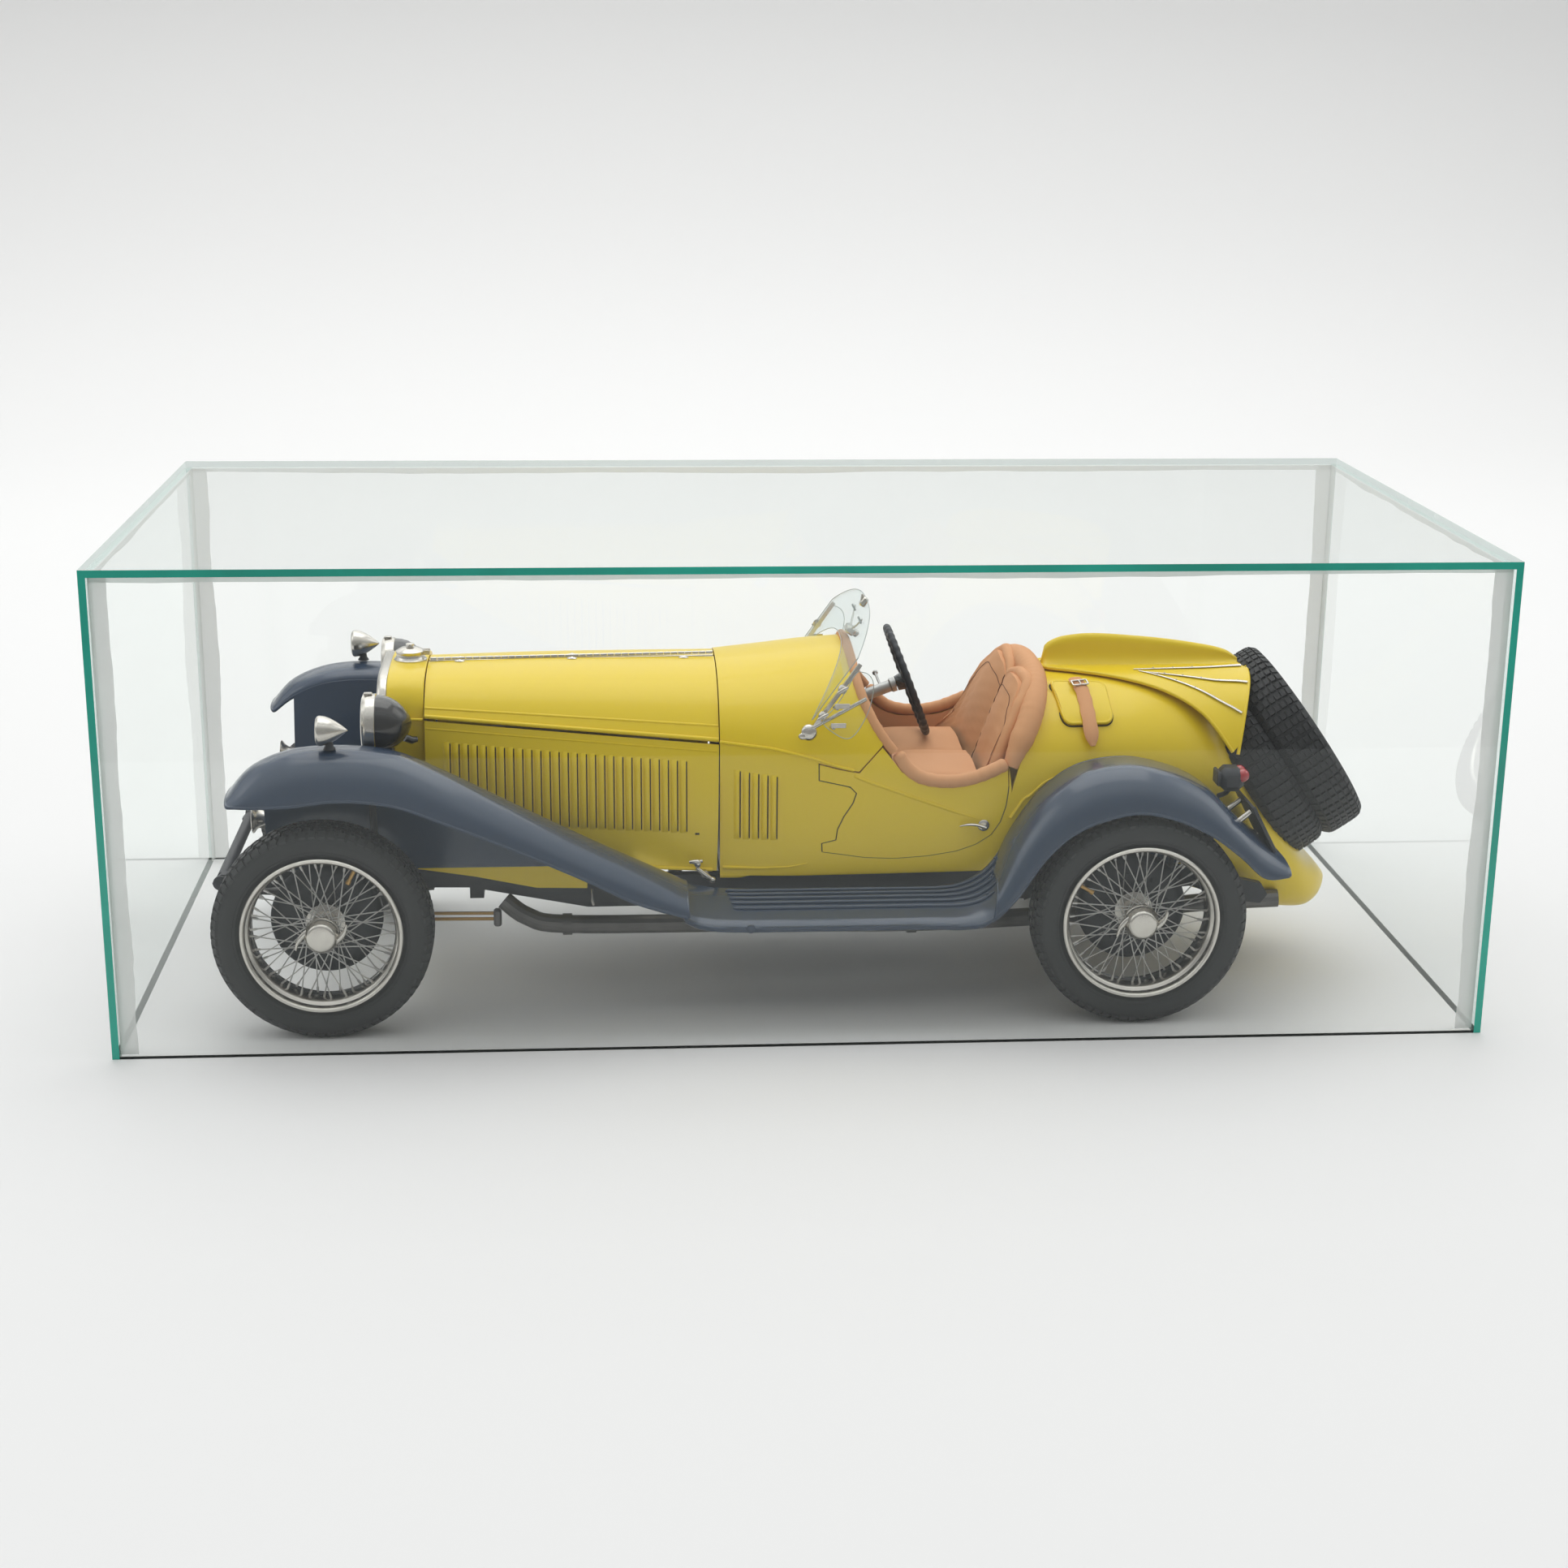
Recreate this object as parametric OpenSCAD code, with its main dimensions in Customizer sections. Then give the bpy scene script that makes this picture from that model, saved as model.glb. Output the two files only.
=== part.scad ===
// Glass display case with a 1:8 scale model roadster inside. Millimetres.
// Case stands on z = 0, its base centre is the origin; the car faces -X, +Z up.
// Car pieces are drawn from the front hub line (x), the car's centre plane (y), the floor (z).

/* [Case] */
// outer length of the glass case (X)
case_w = 574; // [560:1:640]
// outer depth of the glass case (Y)
case_d = 266; // [260:1:320]
// outer height of the glass case
case_h = 204; // [200:1:240]
// thickness of every pane
glass_t = 3; // [2:0.5:4]
// width of the sealant strips inside the corners
bead_w = 7.5; // [4:0.5:10]

/* [Car] */
// distance between front and rear hubs (drives the scale of the whole car)
wheelbase = 344; // [330:1:350]
// front hub to case centre, as a share of the wheelbase
hub_back = 0.5872; // [0.55:0.001:0.6]
// centre plane of the car, towards the front pane
car_y = -26.5; // [-30:0.5:30]

/* [Wheels] */
// centre plane of a wheel from the centre plane of the car
half_track = 80; // [78:0.5:82]
// outer radius of a tyre
tyre_r = 46; // [44:0.5:46]
// half width of a tyre
tyre_hw = 10.5; // [9:0.5:11]
// radius of the tyre seat on the wire wheel
rim_r = 33; // [31:0.5:34]
// half the number of spokes drawn on each wheel
spokes = 10; // [8:1:14]
// radius of the stub axles
stub_r = 3; // [2.5:0.1:3.5]
// running clearance of every bearing
fit = 0.05; // [0.03:0.01:0.1]

/* [Body] */
// thickness of the pressed panels
skin = 1.2; // [1:0.1:2]
// gap around doors, bonnet and lid
gap = 0.5; // [0.3:0.1:1]
// radius of the steering wheel rim
wheel_r = 25; // [22:0.5:27]
// radius of the leather roll round the cockpit
roll_r = 2.6; // [2:0.1:3.2]

/* [Hidden] */
k = wheelbase / 344;
$fn = 48;
rx = 344;
lean = 20.8;
tilt = 32;

// ---- helpers -------------------------------------------------------------
module car() translate([-hub_back * wheelbase, car_y, 0]) scale(k) children();
module both() { children(); mirror([0, 1, 0]) children(); }

// smooth curve through the points p, s from 0 to 1
function cr(p, s) = let(n = len(p) - 1, i = min(floor(s * n), n - 1), t = s * n - i,
  a = p[max(i - 1, 0)], b = p[i], c = p[i + 1], d = p[min(i + 2, n)])
  0.5 * (2 * b + (c - a) * t + (2 * a - 5 * b + 4 * c - d) * t * t + (3 * b - a - 3 * c + d) * t * t * t);
function crs(p, n) = [for (i = [0:n]) cr(p, i / n)];
function mir(g) = [for (r = g) [for (j = [len(r) - 1:-1:0]) [r[j][0], -r[j][1], r[j][2]]]];
function unit(v) = v / max(norm(v), 1e-9);
function nrm(g, i, j) = let(m = len(g) - 1, n = len(g[0]) - 1)
  unit(cross(g[min(i + 1, m)][j] - g[max(i - 1, 0)][j], g[i][min(j + 1, n)] - g[i][max(j - 1, 0)]));

// closed thick sheet: grid g is the outer face, t is the thickness
module sheet(g, t = skin) {
  m = len(g); n = len(g[0]); N = m * n;
  polyhedron(points = concat([for (r = g) each r],
    [for (i = [0:m - 1]) for (j = [0:n - 1]) g[i][j] - t * nrm(g, i, j)]),
    faces = concat(
      [for (i = [0:m - 2]) for (j = [0:n - 2]) let(a = i * n + j) each
        [[a, a + 1, a + n], [a + 1, a + n + 1, a + n],
         [N + a + n, N + a + 1, N + a], [N + a + n, N + a + n + 1, N + a + 1]]],
      [for (i = [0:m - 2]) let(a = i * n, b = a + n - 1) each
        [[a, a + n, a + n + N], [a, a + n + N, a + N], [b + n, b, b + N], [b + n, b + N, b + n + N]]],
      [for (j = [0:n - 2]) let(a = j, c = (m - 1) * n + j) each
        [[a + 1, a, a + N], [a + 1, a + N, a + 1 + N], [c, c + 1, c + 1 + N], [c, c + 1 + N, c + N]]]));
}
module pair(g, t = skin) { sheet(g, t); sheet(mir(g), t); }

// closed tube along p; ref is any direction never parallel to the path
module tube(p, r, ref = [0, 1, 0], n = 10) {
  m = len(p);
  pts = [for (i = [0:m - 1]) let(t = unit(p[min(i + 1, m - 1)] - p[max(i - 1, 0)]),
    b = unit(cross(t, ref)), c = cross(b, t))
    for (q = [0:n - 1]) p[i] + r * (cos(360 * q / n) * b + sin(360 * q / n) * c)];
  polyhedron(points = pts, faces = concat(
    [for (i = [0:m - 2]) for (q = [0:n - 1]) let(a = i * n + q, b = i * n + (q + 1) % n) each
      [[a, b, b + n], [a, b + n, a + n]]],
    [[for (q = [n - 1:-1:0]) q], [for (q = [0:n - 1]) (m - 1) * n + q]]));
}
// solid of revolution about X: points are [x, r]
module turned_x(p) rotate([0, 90, 0]) rotate([0, 0, 180]) rotate_extrude()
  polygon([for (q = p) [q[1], q[0]]]);
// solid of revolution about Y (outwards): points are [y, r]
module turned_y(p) rotate([-90, 0, 0]) rotate_extrude() polygon([for (q = p) [q[1], q[0]]]);
// flat plate drawn in x, z and centred on the plane y
module plate_xz(p, y, t) translate([0, y + t / 2, 0]) rotate([90, 0, 0]) linear_extrude(t) polygon(p);

// ---- shapes of the body --------------------------------------------------
function at(t, x) = lookup(x, t);
bon_c = [[41, 141], [166, 143]];
bon_y = [[41, 40], [166, 51.5]];
bon_z = [[41, 126], [166, 117.5]];
// cowl and tail: x, top, half width, height of the widest line, bottom, half width of the bottom
t_top = [[166, 143], [188, 145.2], [212, 147.9], [224, 149], [300, 136], [345, 136], [372, 134.5], [384, 128],
  [400, 98], [412, 82], [424, 64], [434, 52], [441, 47], [446, 41]];
t_w = [[166, 51.8], [186, 56.5], [206, 59.5], [232, 60.5], [270, 60.5], [300, 58.5], [345, 55], [372, 50],
  [384, 48], [400, 45.5], [412, 43], [424, 38], [434, 30], [441, 21], [446, 10]];
t_m = [[166, 112], [206, 106], [232, 102], [270, 98], [300, 94], [345, 88], [384, 78], [400, 68], [424, 50],
  [434, 42], [446, 37]];
t_b = [[166, 58], [300, 60], [345, 61], [358, 56], [372, 44], [400, 33], [424, 27], [434, 26], [441, 28], [446, 34]];
t_bw = [[166, 53], [206, 57.5], [270, 57.5], [300, 56], [345, 50], [358, 42], [372, 26], [400, 14], [424, 10],
  [434, 8], [446, 4]];
// point of the body section at x: v from 0 (top centre) to 1 (widest line) to 2 (bottom)
function sec(x, v) = let(w = at(t_w, x), m = at(t_m, x), a = 90 * min(v, 1), b = 90 * max(v - 1, 0),
  n = x < 250 ? 0.88 : x > 392 ? 0.7 : 0.86)
  v <= 1 ? [x, w * pow(sin(a), n), m + (at(t_top, x) - m) * pow(cos(a), n)]
    : [x, at(t_bw, x) + (w - at(t_bw, x)) * cos(b), m + (at(t_b, x) - m) * sin(b)];
function skin_grid(xs, vs) = [for (x = xs) [for (v = vs) sec(x, v)]];
// inner side of the body at height z (for trim): half width
function wide(x, z) = let(w = at(t_w, x)) w - 1.5;

// ---- glass case ----------------------------------------------------------
module pane(s, p) color([0.75, 0.93, 0.88, 0.35]) translate(p) cube(s, center = true);
wz = case_h - glass_t;
module case_top_glass() pane([case_w, case_d, glass_t], [0, 0, case_h - glass_t / 2]);
module case_left_glass() pane([glass_t, case_d, wz], [-(case_w - glass_t) / 2, 0, wz / 2]);
module case_right_glass() pane([glass_t, case_d, wz], [(case_w - glass_t) / 2, 0, wz / 2]);
module case_front_glass() pane([case_w - 2 * glass_t, glass_t, wz], [0, -(case_d - glass_t) / 2, wz / 2]);
module case_back_glass() pane([case_w - 2 * glass_t, glass_t, wz], [0, (case_d - glass_t) / 2, wz / 2]);
module case_sealant() color([0.93, 0.94, 0.92])
  for (a = [-1, 1], b = [-1, 1]) scale([a, b, 1]) translate([case_w / 2 - glass_t, case_d / 2 - glass_t, 0])
    translate([-bead_w, -bead_w, 1]) linear_extrude(wz - 1)
      polygon([[bead_w, 0], [bead_w, bead_w], [0, bead_w], [0, bead_w - 1], [bead_w - 1, bead_w - 1], [bead_w - 1, 0]]);

// ---- chassis -------------------------------------------------------------
rail = [[-50, 56], [-46, 60], [-20, 61], [60, 60], [110, 57], [300, 57], [330, 60], [362, 60], [388, 54],
  [405, 50], [408, 45], [405, 41], [388, 43], [362, 55], [330, 55], [300, 44], [110, 43], [60, 52.6], [-20, 54],
  [-46, 53]];
module chassis_frame() color([0.16, 0.2, 0.27]) car() {
  both() plate_xz([for (q = rail) if (q[0] < 301) q], 46.5, 5);
  both() plate_xz([for (q = rail) if (q[0] > 290) q], 50, 4);
  both() translate([296, 48, 50.5]) cube([8, 6, 12], center = true);
  for (x = [62, 170]) translate([x, 0, 50]) cube([6, 87.8, 8], center = true);
  translate([286, 0, 52.8]) cube([6, 87.8, 7.6], center = true);
  translate([-46, 0, 57]) rotate([90, 0, 0]) cylinder(h = 87.8, r = 2.6, center = true);
  both() translate([-46, 51.5, 57]) rotate([90, 0, 0]) cylinder(h = 5, r = 2.6);
  translate([396, 0, 47]) rotate([90, 0, 0]) cylinder(h = 95.8, r = 2.4, center = true);
  both() tube([[20, 48, 58], [20, 55, 84], [20, 61, 111]], 1.5, [1, 0, 0], 8);
  both() tube([[rx + 20, 51, 58], [rx + 20, 58.5, 78], [rx + 20, 63.5, 99]], 1.5, [1, 0, 0], 8);
}
module leaf(x0, x1, y, z, up) let(c = (x0 + x1) / 2, h = (x1 - x0) / 2) both()
  plate_xz(concat([for (s = [-1:0.2:1]) [c + h * s, z + up * s * s]],
    [for (s = [1:-0.2:-1]) [c + h * s, z + up * s * s - 1 - 2 * (1 - abs(s))]]), y, 4);
module leaf_springs() color([0.12, 0.13, 0.15]) car() {
  leaf(-44, 44, 46.5, 52.1, 0.5);
  leaf(rx - 46, rx + 44, 55.9, 52.4, 2);
}
module front_axle() color([0.2, 0.23, 0.28]) car() difference() {
  union() {
    translate([0, 0, 46]) cube([7, 100, 5], center = true);
    both() translate([0, 52, 46]) cube([7, 10, 6], center = true);
    both() translate([0, 56, 43]) cylinder(h = 6, r = 3.9);
  }
  both() translate([0, 56, 40]) cylinder(h = 12, r = 2.4 + fit);
}
module rear_axle() color([0.16, 0.17, 0.19]) car() translate([rx, 0, 46]) {
  rotate([90, 0, 0]) cylinder(h = 124, r = 3.4, center = true);
  rotate([90, 0, 0]) cylinder(h = 168, r = stub_r, center = true);
  scale([1, 0.8, 1]) sphere(r = 13);
  both() turned_y([[58, 0], [58, 20], [59.5, 20.6], [60, 20.6], [60, 0]]);
  translate([-150, 0, 0]) rotate([0, 90, 0]) cylinder(h = 136.8, r = 2.6);
}
module engine_block() color([0.66, 0.67, 0.68]) car() {
  translate([104, 0, 76.5]) cube([104, 26, 43], center = true);
  both() translate([54, 9.5, 103]) rotate([0, 90, 0]) cylinder(h = 92, r = 6);
  translate([102, 0, 100.5]) cube([88, 22, 9], center = true);
  for (x = [62:12:146]) translate([x, -13, 94]) rotate([90, 0, 0]) cylinder(h = 8, r = 3);
  translate([70, 24, 84]) rotate([0, 90, 0]) cylinder(h = 60, r = 8);
  translate([100, 15, 84]) cube([20, 10, 8], center = true);
  for (x = [69, 148]) translate([x, 0, 54.2]) cube([6, 87.9, 1.2], center = true);
  translate([104, 0, 56.6]) cube([94, 20, 3], center = true);
}
module exhaust_pipe() color([0.2, 0.2, 0.21]) car() {
  tube(crs([[74, -52.6, 48], [84, -54.5, 41], [101, -55.5, 37.6], [170, -55.5, 37], [250, -55.5, 36], [300, -46, 34],
    [344, -37, 33], [385, -38, 37], [416, -40, 39]], 40), 4, [0, 0, 1], 14);
}
module floor_pan() color([0.1, 0.1, 0.11]) car() {
  translate([238, 0, 59]) cube([136, 104, 1.6], center = true);
  translate([168, 0, 84]) cube([2, 98, 48], center = true);
  translate([228.2, 0, 66]) cube([36.6, 16, 12.2], center = true);
  difference() {
    along_x(213, 215) polygon([[-53, 103], [53, 103], [53, 121.5], [45, 131.5], [-45, 131.5], [-53, 121.5]]);
    translate([214, 25, 108.7]) rotate([0, 90 - lean, 0]) cylinder(h = 20, r = 3.4, center = true);
  }
}

// ---- painted body --------------------------------------------------------
door_x0 = 210; door_x1 = 289.5;
function rim_z(x) = at([[232, 121], [236, 115], [244, 105.5], [258, 99.5], [272, 99.7], [290, 107.5], [300, 120]], x);
function v_of(x, z) = let(m = at(t_m, x), n = x < 250 ? 0.88 : 0.86, tp = at(t_top, x))
  z >= m ? acos(pow(min((z - m) / (tp - m), 1), 1 / n)) / 90
    : 1 + asin(min((m - z) / (m - at(t_b, x)), 1)) / 90;
module body_cowl() color([0.93, 0.86, 0.15]) car() {
  g = skin_grid([166.6, 172, 179, 186, 194, 202, 209.5], [0, 0.16, 0.32, 0.48, 0.64, 0.78, 0.9, 1, 1.2, 1.5, 1.8, 2]);
  pair(g);
  h = [for (x = [209.5, 216, 223, 229, 234.5]) [for (s = [0:0.125:1]) sec(x, s * (v_of(x, 114) + 0.001))]];
  pair(h);
}
module body_sills() color([0.93, 0.86, 0.15]) car() {
  g = [for (x = [210, 230, 250, 268, 280, 290]) let(z0 = at([[210, 67.5], [240, 65.5], [268, 68.5], [280, 74], [290, 89]], x) - gap)
    [for (s = [0:0.25:1]) sec(x, v_of(x, z0) * (1 - s) + 2 * s)]];
  pair(g);
  both() plate_xz([[58, 62.2], [106, 61.6], [106, 58], [74, 58.6], [58, 60.4]], 49.9, 1.4);
}
function row(x, v) = let(p = sec(x, abs(v))) [p[0], sign(v) * p[1], p[2]];
module body_tail() color([0.93, 0.86, 0.15]) {
  difference() {
    car() sheet(concat([for (s = [0:0.1:1]) [for (v = [-2:0.125:2]) let(x0 = 290.2 + 17 * max(0, 1 - abs(v) / 1.25))
      row(x0 + (384 - x0) * s, v)]],
      [for (x = [392, 400, 407, 412, 418, 424, 430, 435, 441, 445]) [for (v = [-2:0.125:2]) row(x, v)]]));
    // recess for the first spare wheel, and slots for the rails and the rear tube
    spare(0) turned_y([[-11, 0], [-11, tyre_r - 4.4], [-8.6, tyre_r + 0.4], [24, tyre_r + 0.4], [24, 0]]);
    car() both() translate([0, 52.4, 0]) rotate([90, 0, 0]) linear_extrude(4.8) offset(delta = 0.4)
      polygon([for (q = rail) if (q[0] > 290) q]);
    car() translate([396, 0, 47]) rotate([90, 0, 0]) cylinder(h = 110, r = 2.9, center = true);
  }
  // headrest fin on top
  car() plate_xz(concat(crs([[313, 137.2], [314, 145], [321, 150], [334, 151.5], [356, 150], [384, 146.5], [397, 143],
    [401, 139.2]], 28), [[400.8, 138.9], [345, 138.7], [343, 137.2]]), 0, 4.4);
}
// height of the body at x, y on its upper half
function lie(x, y) = let(n = x > 392 ? 0.7 : 0.86, a = asin(pow(min(y / at(t_w, x), 1), 1 / n)))
  at(t_m, x) + (at(t_top, x) - at(t_m, x)) * pow(cos(a), n);
module tail_deck() color([0.93, 0.86, 0.15]) car() {
  // cover over the front of the spare wheels, standing on the tail
  xs = [345, 352, 360, 368, 376, 384, 392, 398, 402];
  pair([for (i = [0:8]) [for (s = [0:0.1:1]) let(w = at([[345, 16], [360, 27], [376, 38], [402, 47]], xs[i]),
    y = w * s, x = xs[i] - (i / 8) * 9 * s * s, z0 = at([[345, 137.6], [372, 137.6], [402, 138.5]], x),
    d = at([[345, 30], [372, 33], [402, 36]], x))
    [x, y, max(z0 - d * pow(y / 47, 2), lie(x, y) + 1.9)]]], 0.9);
}
module tail_strips() color([0.85, 0.85, 0.86]) car() both()
  for (q = [[[352, 11, 138.1], [401, 9, 138.7]], [[354, 13, 139], [400, 25, 133]], [[356, 15, 138.8], [395, 38, 122.4]]])
    tube([q[0], (q[0] + q[1]) / 2 + [0, 0, 1.6], q[1]], 0.8, [0, 0, 1], 6);

// ---- bonnet --------------------------------------------------------------
module bonnet_top(sd) color([0.93, 0.86, 0.15]) car() {
  g = [for (x = [42:15.4:166]) let(yb = at(bon_y, x), zb = at(bon_z, x), zc = at(bon_c, x))
    [for (s = [0:0.1:1]) [x, 1.2 + (yb - 1.2) * s, zb + (zc - zb) * (1 - pow(s, 2.4))]]];
  sheet(sd < 0 ? mir(g) : g, 1);
  // every other knuckle of the piano hinge, with its piece of leaf
  translate([42, 0, 141.9]) rotate([0, 90 - 0.92, 0]) for (i = [(sd < 0 ? 0 : 1):2:15]) translate([0, 0, i * 7.75 + 0.1]) {
    cylinder(h = 7.5, r = 1.1);
    scale([1, sd, 1]) translate([-0.2, 0.5, 0]) cube([1.7, 1.9, 7.5]);
  }
}
module bonnet_top_left() bonnet_top(-1);
module bonnet_top_right() bonnet_top(1);
module bonnet_side(sd) color([0.93, 0.86, 0.15]) car() {
  g = [for (x = [42:15.4:166]) let(yb = at(bon_y, x), zb = at(bon_z, x) - 1.2)
    [for (s = [0:0.125:1]) [x, yb + 0.3 + 3 * s + 1.5 * sin(180 * s), zb + (at([[42, 64], [166, 60.5]], x) - zb) * s]]];
  sheet(sd < 0 ? mir(g) : g, 1);
}
module bonnet_side_left() bonnet_side(-1);
module bonnet_side_right() bonnet_side(1);

// ---- radiator and lamps --------------------------------------------------
// outline of the radiator, y and z, drawn in by d
function rad(d) = let(h = [[0, 58 + d], [31 - d, 58 + d], [34 - d, 80], [36.3 - d, 110], [36.5 - d, 124],
    [34.4 - d, 133 - d * 0.3], [29 - d, 138.8 - d], [20, 141 - d], [8, 141.8 - d], [0, 142 - d]])
  concat(h, [for (i = [len(h) - 2:-1:1]) [-h[i][0], h[i][1]]]);
module along_x(x0, x1) translate([x0, 0, 0]) rotate([90, 0, 90]) linear_extrude(x1 - x0) children();
module radiator_shell() color([0.93, 0.86, 0.15]) car() difference() {
  along_x(25.1, 41.3) polygon(rad(0));
  along_x(20, 45) polygon(rad(2.6));
}
module radiator_rim() color([0.8, 0.8, 0.8]) car() {
  difference() {
    along_x(21, 25.05) polygon(rad(0.6));
    along_x(20, 45) polygon(rad(3.6));
  }
  translate([33.5, 0, 142.05]) cylinder(h = 1.9, r = 6.2);
}
module radiator_core() color([0.14, 0.14, 0.15]) car() {
  along_x(27, 38) polygon(rad(2.7));
  for (i = [-5:5]) translate([26.4, i * 5.4, 97]) cube([1.1, 1.4, 66], center = true);
}
module radiator_cap() color([0.8, 0.8, 0.8]) car() {
  translate([33.5, 0, 144.02]) cylinder(h = 2.8, r = 5.6);
  translate([33.5, 0, 146.8]) cylinder(h = 1.6, r = 2);
  translate([39.6, 0, 144.9]) cube([2.6, 4, 1.3], center = true);
  translate([41, 0, 144.7]) rotate([90, 0, 0]) cylinder(h = 4, r = 0.85, center = true);
}
module headlamp_bowls() color([0.06, 0.06, 0.07]) car() both() {
  translate([0, 52, 127]) turned_x([[22.05, 0], [22.05, 11.6], [26, 11.3], [30, 9.8], [34, 6.6], [36.5, 3], [37.2, 0]]);
  translate([28, 52, 110]) cylinder(h = 7, r = 1.6);
}
module headlamp_rims() color([0.8, 0.8, 0.8]) car() both() translate([0, 52, 127])
  turned_x([[17, 10.6], [16.6, 11.4], [17.4, 12.2], [22, 12], [22, 10.6]]);
module headlamp_lenses() color([0.85, 0.9, 0.92]) car() both() translate([0, 52, 127])
  turned_x([[16.4, 0], [17.4, 6], [18.2, 10.5], [19.4, 10.5], [19.4, 0]]);
module horns_and_brackets() color([0.6, 0.6, 0.62]) car() both() {
  tube([[31, 36.9, 104], [30, 44, 106], [28, 52, 108.4], [28, 52, 109.9]], 1.5, [1, 0, 0], 8);
  translate([0, 50, 85.5]) turned_x([[-31, 0], [-31, 6], [-29.5, 4.6], [-26, 2.8], [-20, 1.7], [6, 1.5], [6, 0]]);
  translate([0, 50, 85.5]) tube([[3, 0, -1.8], [5, -2, -10], [5, -3.2, -24.2]], 1.3, [1, 0, 0], 8);
}
module wing_lamps() color([0.75, 0.75, 0.76]) car() both() translate([0, 78, 131]) {
  turned_x([[0, 0], [0.2, 5.4], [2, 6.2], [5, 5.8], [9, 3.4], [12.5, 0.8], [13, 0]]);
  translate([5, 0, -6.9]) cylinder(h = 3, r = 1.3);
}

// ---- wings and running boards --------------------------------------------
// crest line, outer edge and inner edge of a wing as [x, z] points
fw_c = [[-37.5, 104], [-28, 114.5], [-12, 121.3], [8, 123], [30, 120.5], [50, 112], [75, 99], [108, 82], [130, 71.5], [152, 60.5]];
fw_o = [[-35, 103], [-27, 102.2], [-10, 102.6], [10, 104.6], [32, 102], [52, 94.5], [76, 84.5], [108, 70], [130, 59], [152, 52]];
fw_i = [[-35, 103.5], [-26, 110], [-11, 116], [8, 117.5], [29, 115], [49, 106.5], [74, 94], [107, 78], [129, 67], [151, 58]];
rw_c = [[283, 64], [290, 80], [302, 96.5], [318, 108], [338, 111.8], [356, 108.5], [372, 101], [386, 88], [398, 77], [407, 70]];
rw_o = [[281, 50], [290, 58.5], [302, 76], [316, 88], [337, 94.8], [354, 92.8], [372, 85], [385, 75.5], [396, 66], [406, 66.5]];
rw_i = [[285, 66], [292, 81], [304, 97.5], [319, 108], [338, 111], [355, 107.5], [371, 100], [384, 88], [395, 78], [404, 71]];
function wing_grid(c, o, i, yi, yc, yo, n) = [for (s = [0:n]) let(C = cr(c, s / n), O = cr(o, s / n), I = cr(i, s / n))
  concat([for (a = [60:-30:1]) let(q = 1 - cos(a * 1.5), w = sin(a * 1.5)) [C[0] + (I[0] - C[0]) * q, yc + (yi - yc) * w, C[1] + (I[1] - C[1]) * q]],
    [for (a = [0:18:90]) let(q = 1 - cos(a)) [C[0] + (O[0] - C[0]) * q, yc + (yo - yc) * sin(a), C[1] + (O[1] - C[1]) * q]])];
module wing(c, o, i, yi, yc, yo, n, sd) color([0.17, 0.23, 0.32]) car() {
  g = wing_grid(c, o, i, yi, yc, yo, n);
  sheet(sd > 0 ? [for (r = g) [for (j = [len(r) - 1:-1:0]) r[j]]] : [for (r = g) [for (p = r) [p[0], -p[1], p[2]]]], skin);
}
module wing_front_left() wing(fw_c, fw_o, fw_i, 61.2, 75, 91.5, 24, -1);
module wing_front_right() wing(fw_c, fw_o, fw_i, 61.2, 75, 91.5, 24, 1);
module wing_rear_left() wing(rw_c, rw_o, rw_i, 61.5, 74, 91.5, 24, -1);
module wing_rear_right() wing(rw_c, rw_o, rw_i, 61.5, 74, 91.5, 24, 1);
module running_boards() color([0.17, 0.23, 0.32]) car() both() {
  plate_xz([[152.3, 52], [152.3, 57], [164, 54.5], [270, 54.5], [281, 62], [279, 49], [272, 46], [200, 47.5], [164, 50]], 76, 29);
  for (i = [0:4]) translate([218, 65 + i * 4, 54.9]) cube([100, 1.6, 1], center = true);
  for (x = [176, 262]) translate([x, 57.5, 52.5]) cube([5, 8.2, 3], center = true);
}

// ---- wheels --------------------------------------------------------------
module tyre_shape() turned_y([[-6.8, rim_r], [-8.2, rim_r + 0.4], [-tyre_hw + 0.4, rim_r + 3], [-tyre_hw, tyre_r - 5],
  [-8.4, tyre_r - 0.9], [-5, tyre_r], [5, tyre_r], [8.4, tyre_r - 0.9], [tyre_hw, tyre_r - 5],
  [tyre_hw - 0.4, rim_r + 3], [8.2, rim_r + 0.4], [6.8, rim_r]]);
module wheel_shape(bore = true) difference() {
  union() {
    turned_y([[-5, rim_r - 2.8], [-9, rim_r - 1.8], [-9.6, rim_r + 0.2], [-8, rim_r + 0.2], [-7.2, rim_r - 0.4], [-6.9, rim_r],
      [6.9, rim_r], [7.2, rim_r - 0.4], [8, rim_r + 0.2], [9.6, rim_r + 0.2], [9, rim_r - 1.8], [5, rim_r - 2.8]]);
    turned_y([[-10, 0], [-10, 8], [-7, 8], [-6, 5], [3, 4.6], [4, 7], [5.5, 7], [6, 5.4], [8, 6.8], [12.5, 6.4],
      [13.2, 4], [13.2, 0]]);
    for (i = [0:spokes - 1]) {
      rotate([0, i * 360 / spokes, 0]) translate([0, 4.6, 0]) rotate([7, 0, 0]) cylinder(h = rim_r - 1.6, r = 0.5, $fn = 6);
      rotate([0, (i + 0.5) * 360 / spokes, 0]) translate([0, -8.2, 0]) rotate([-12, 0, 0]) cylinder(h = rim_r - 1.6, r = 0.5, $fn = 6);
    }
    for (a = [0, 180]) rotate([0, a + 28, 0]) translate([0, 10.4, 0]) rotate([90, 0, 0]) linear_extrude(2.4, center = true)
      polygon([[-5, 2], [5, 2], [4.4, 6], [2.6, 10.4], [0.6, 11.6], [-1.2, 9.6], [-4.4, 6.4]]);
  }
  if (bore) rotate([90, 0, 0]) translate([0, 0, -4.2]) cylinder(h = 20, r = stub_r + fit);
}
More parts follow.
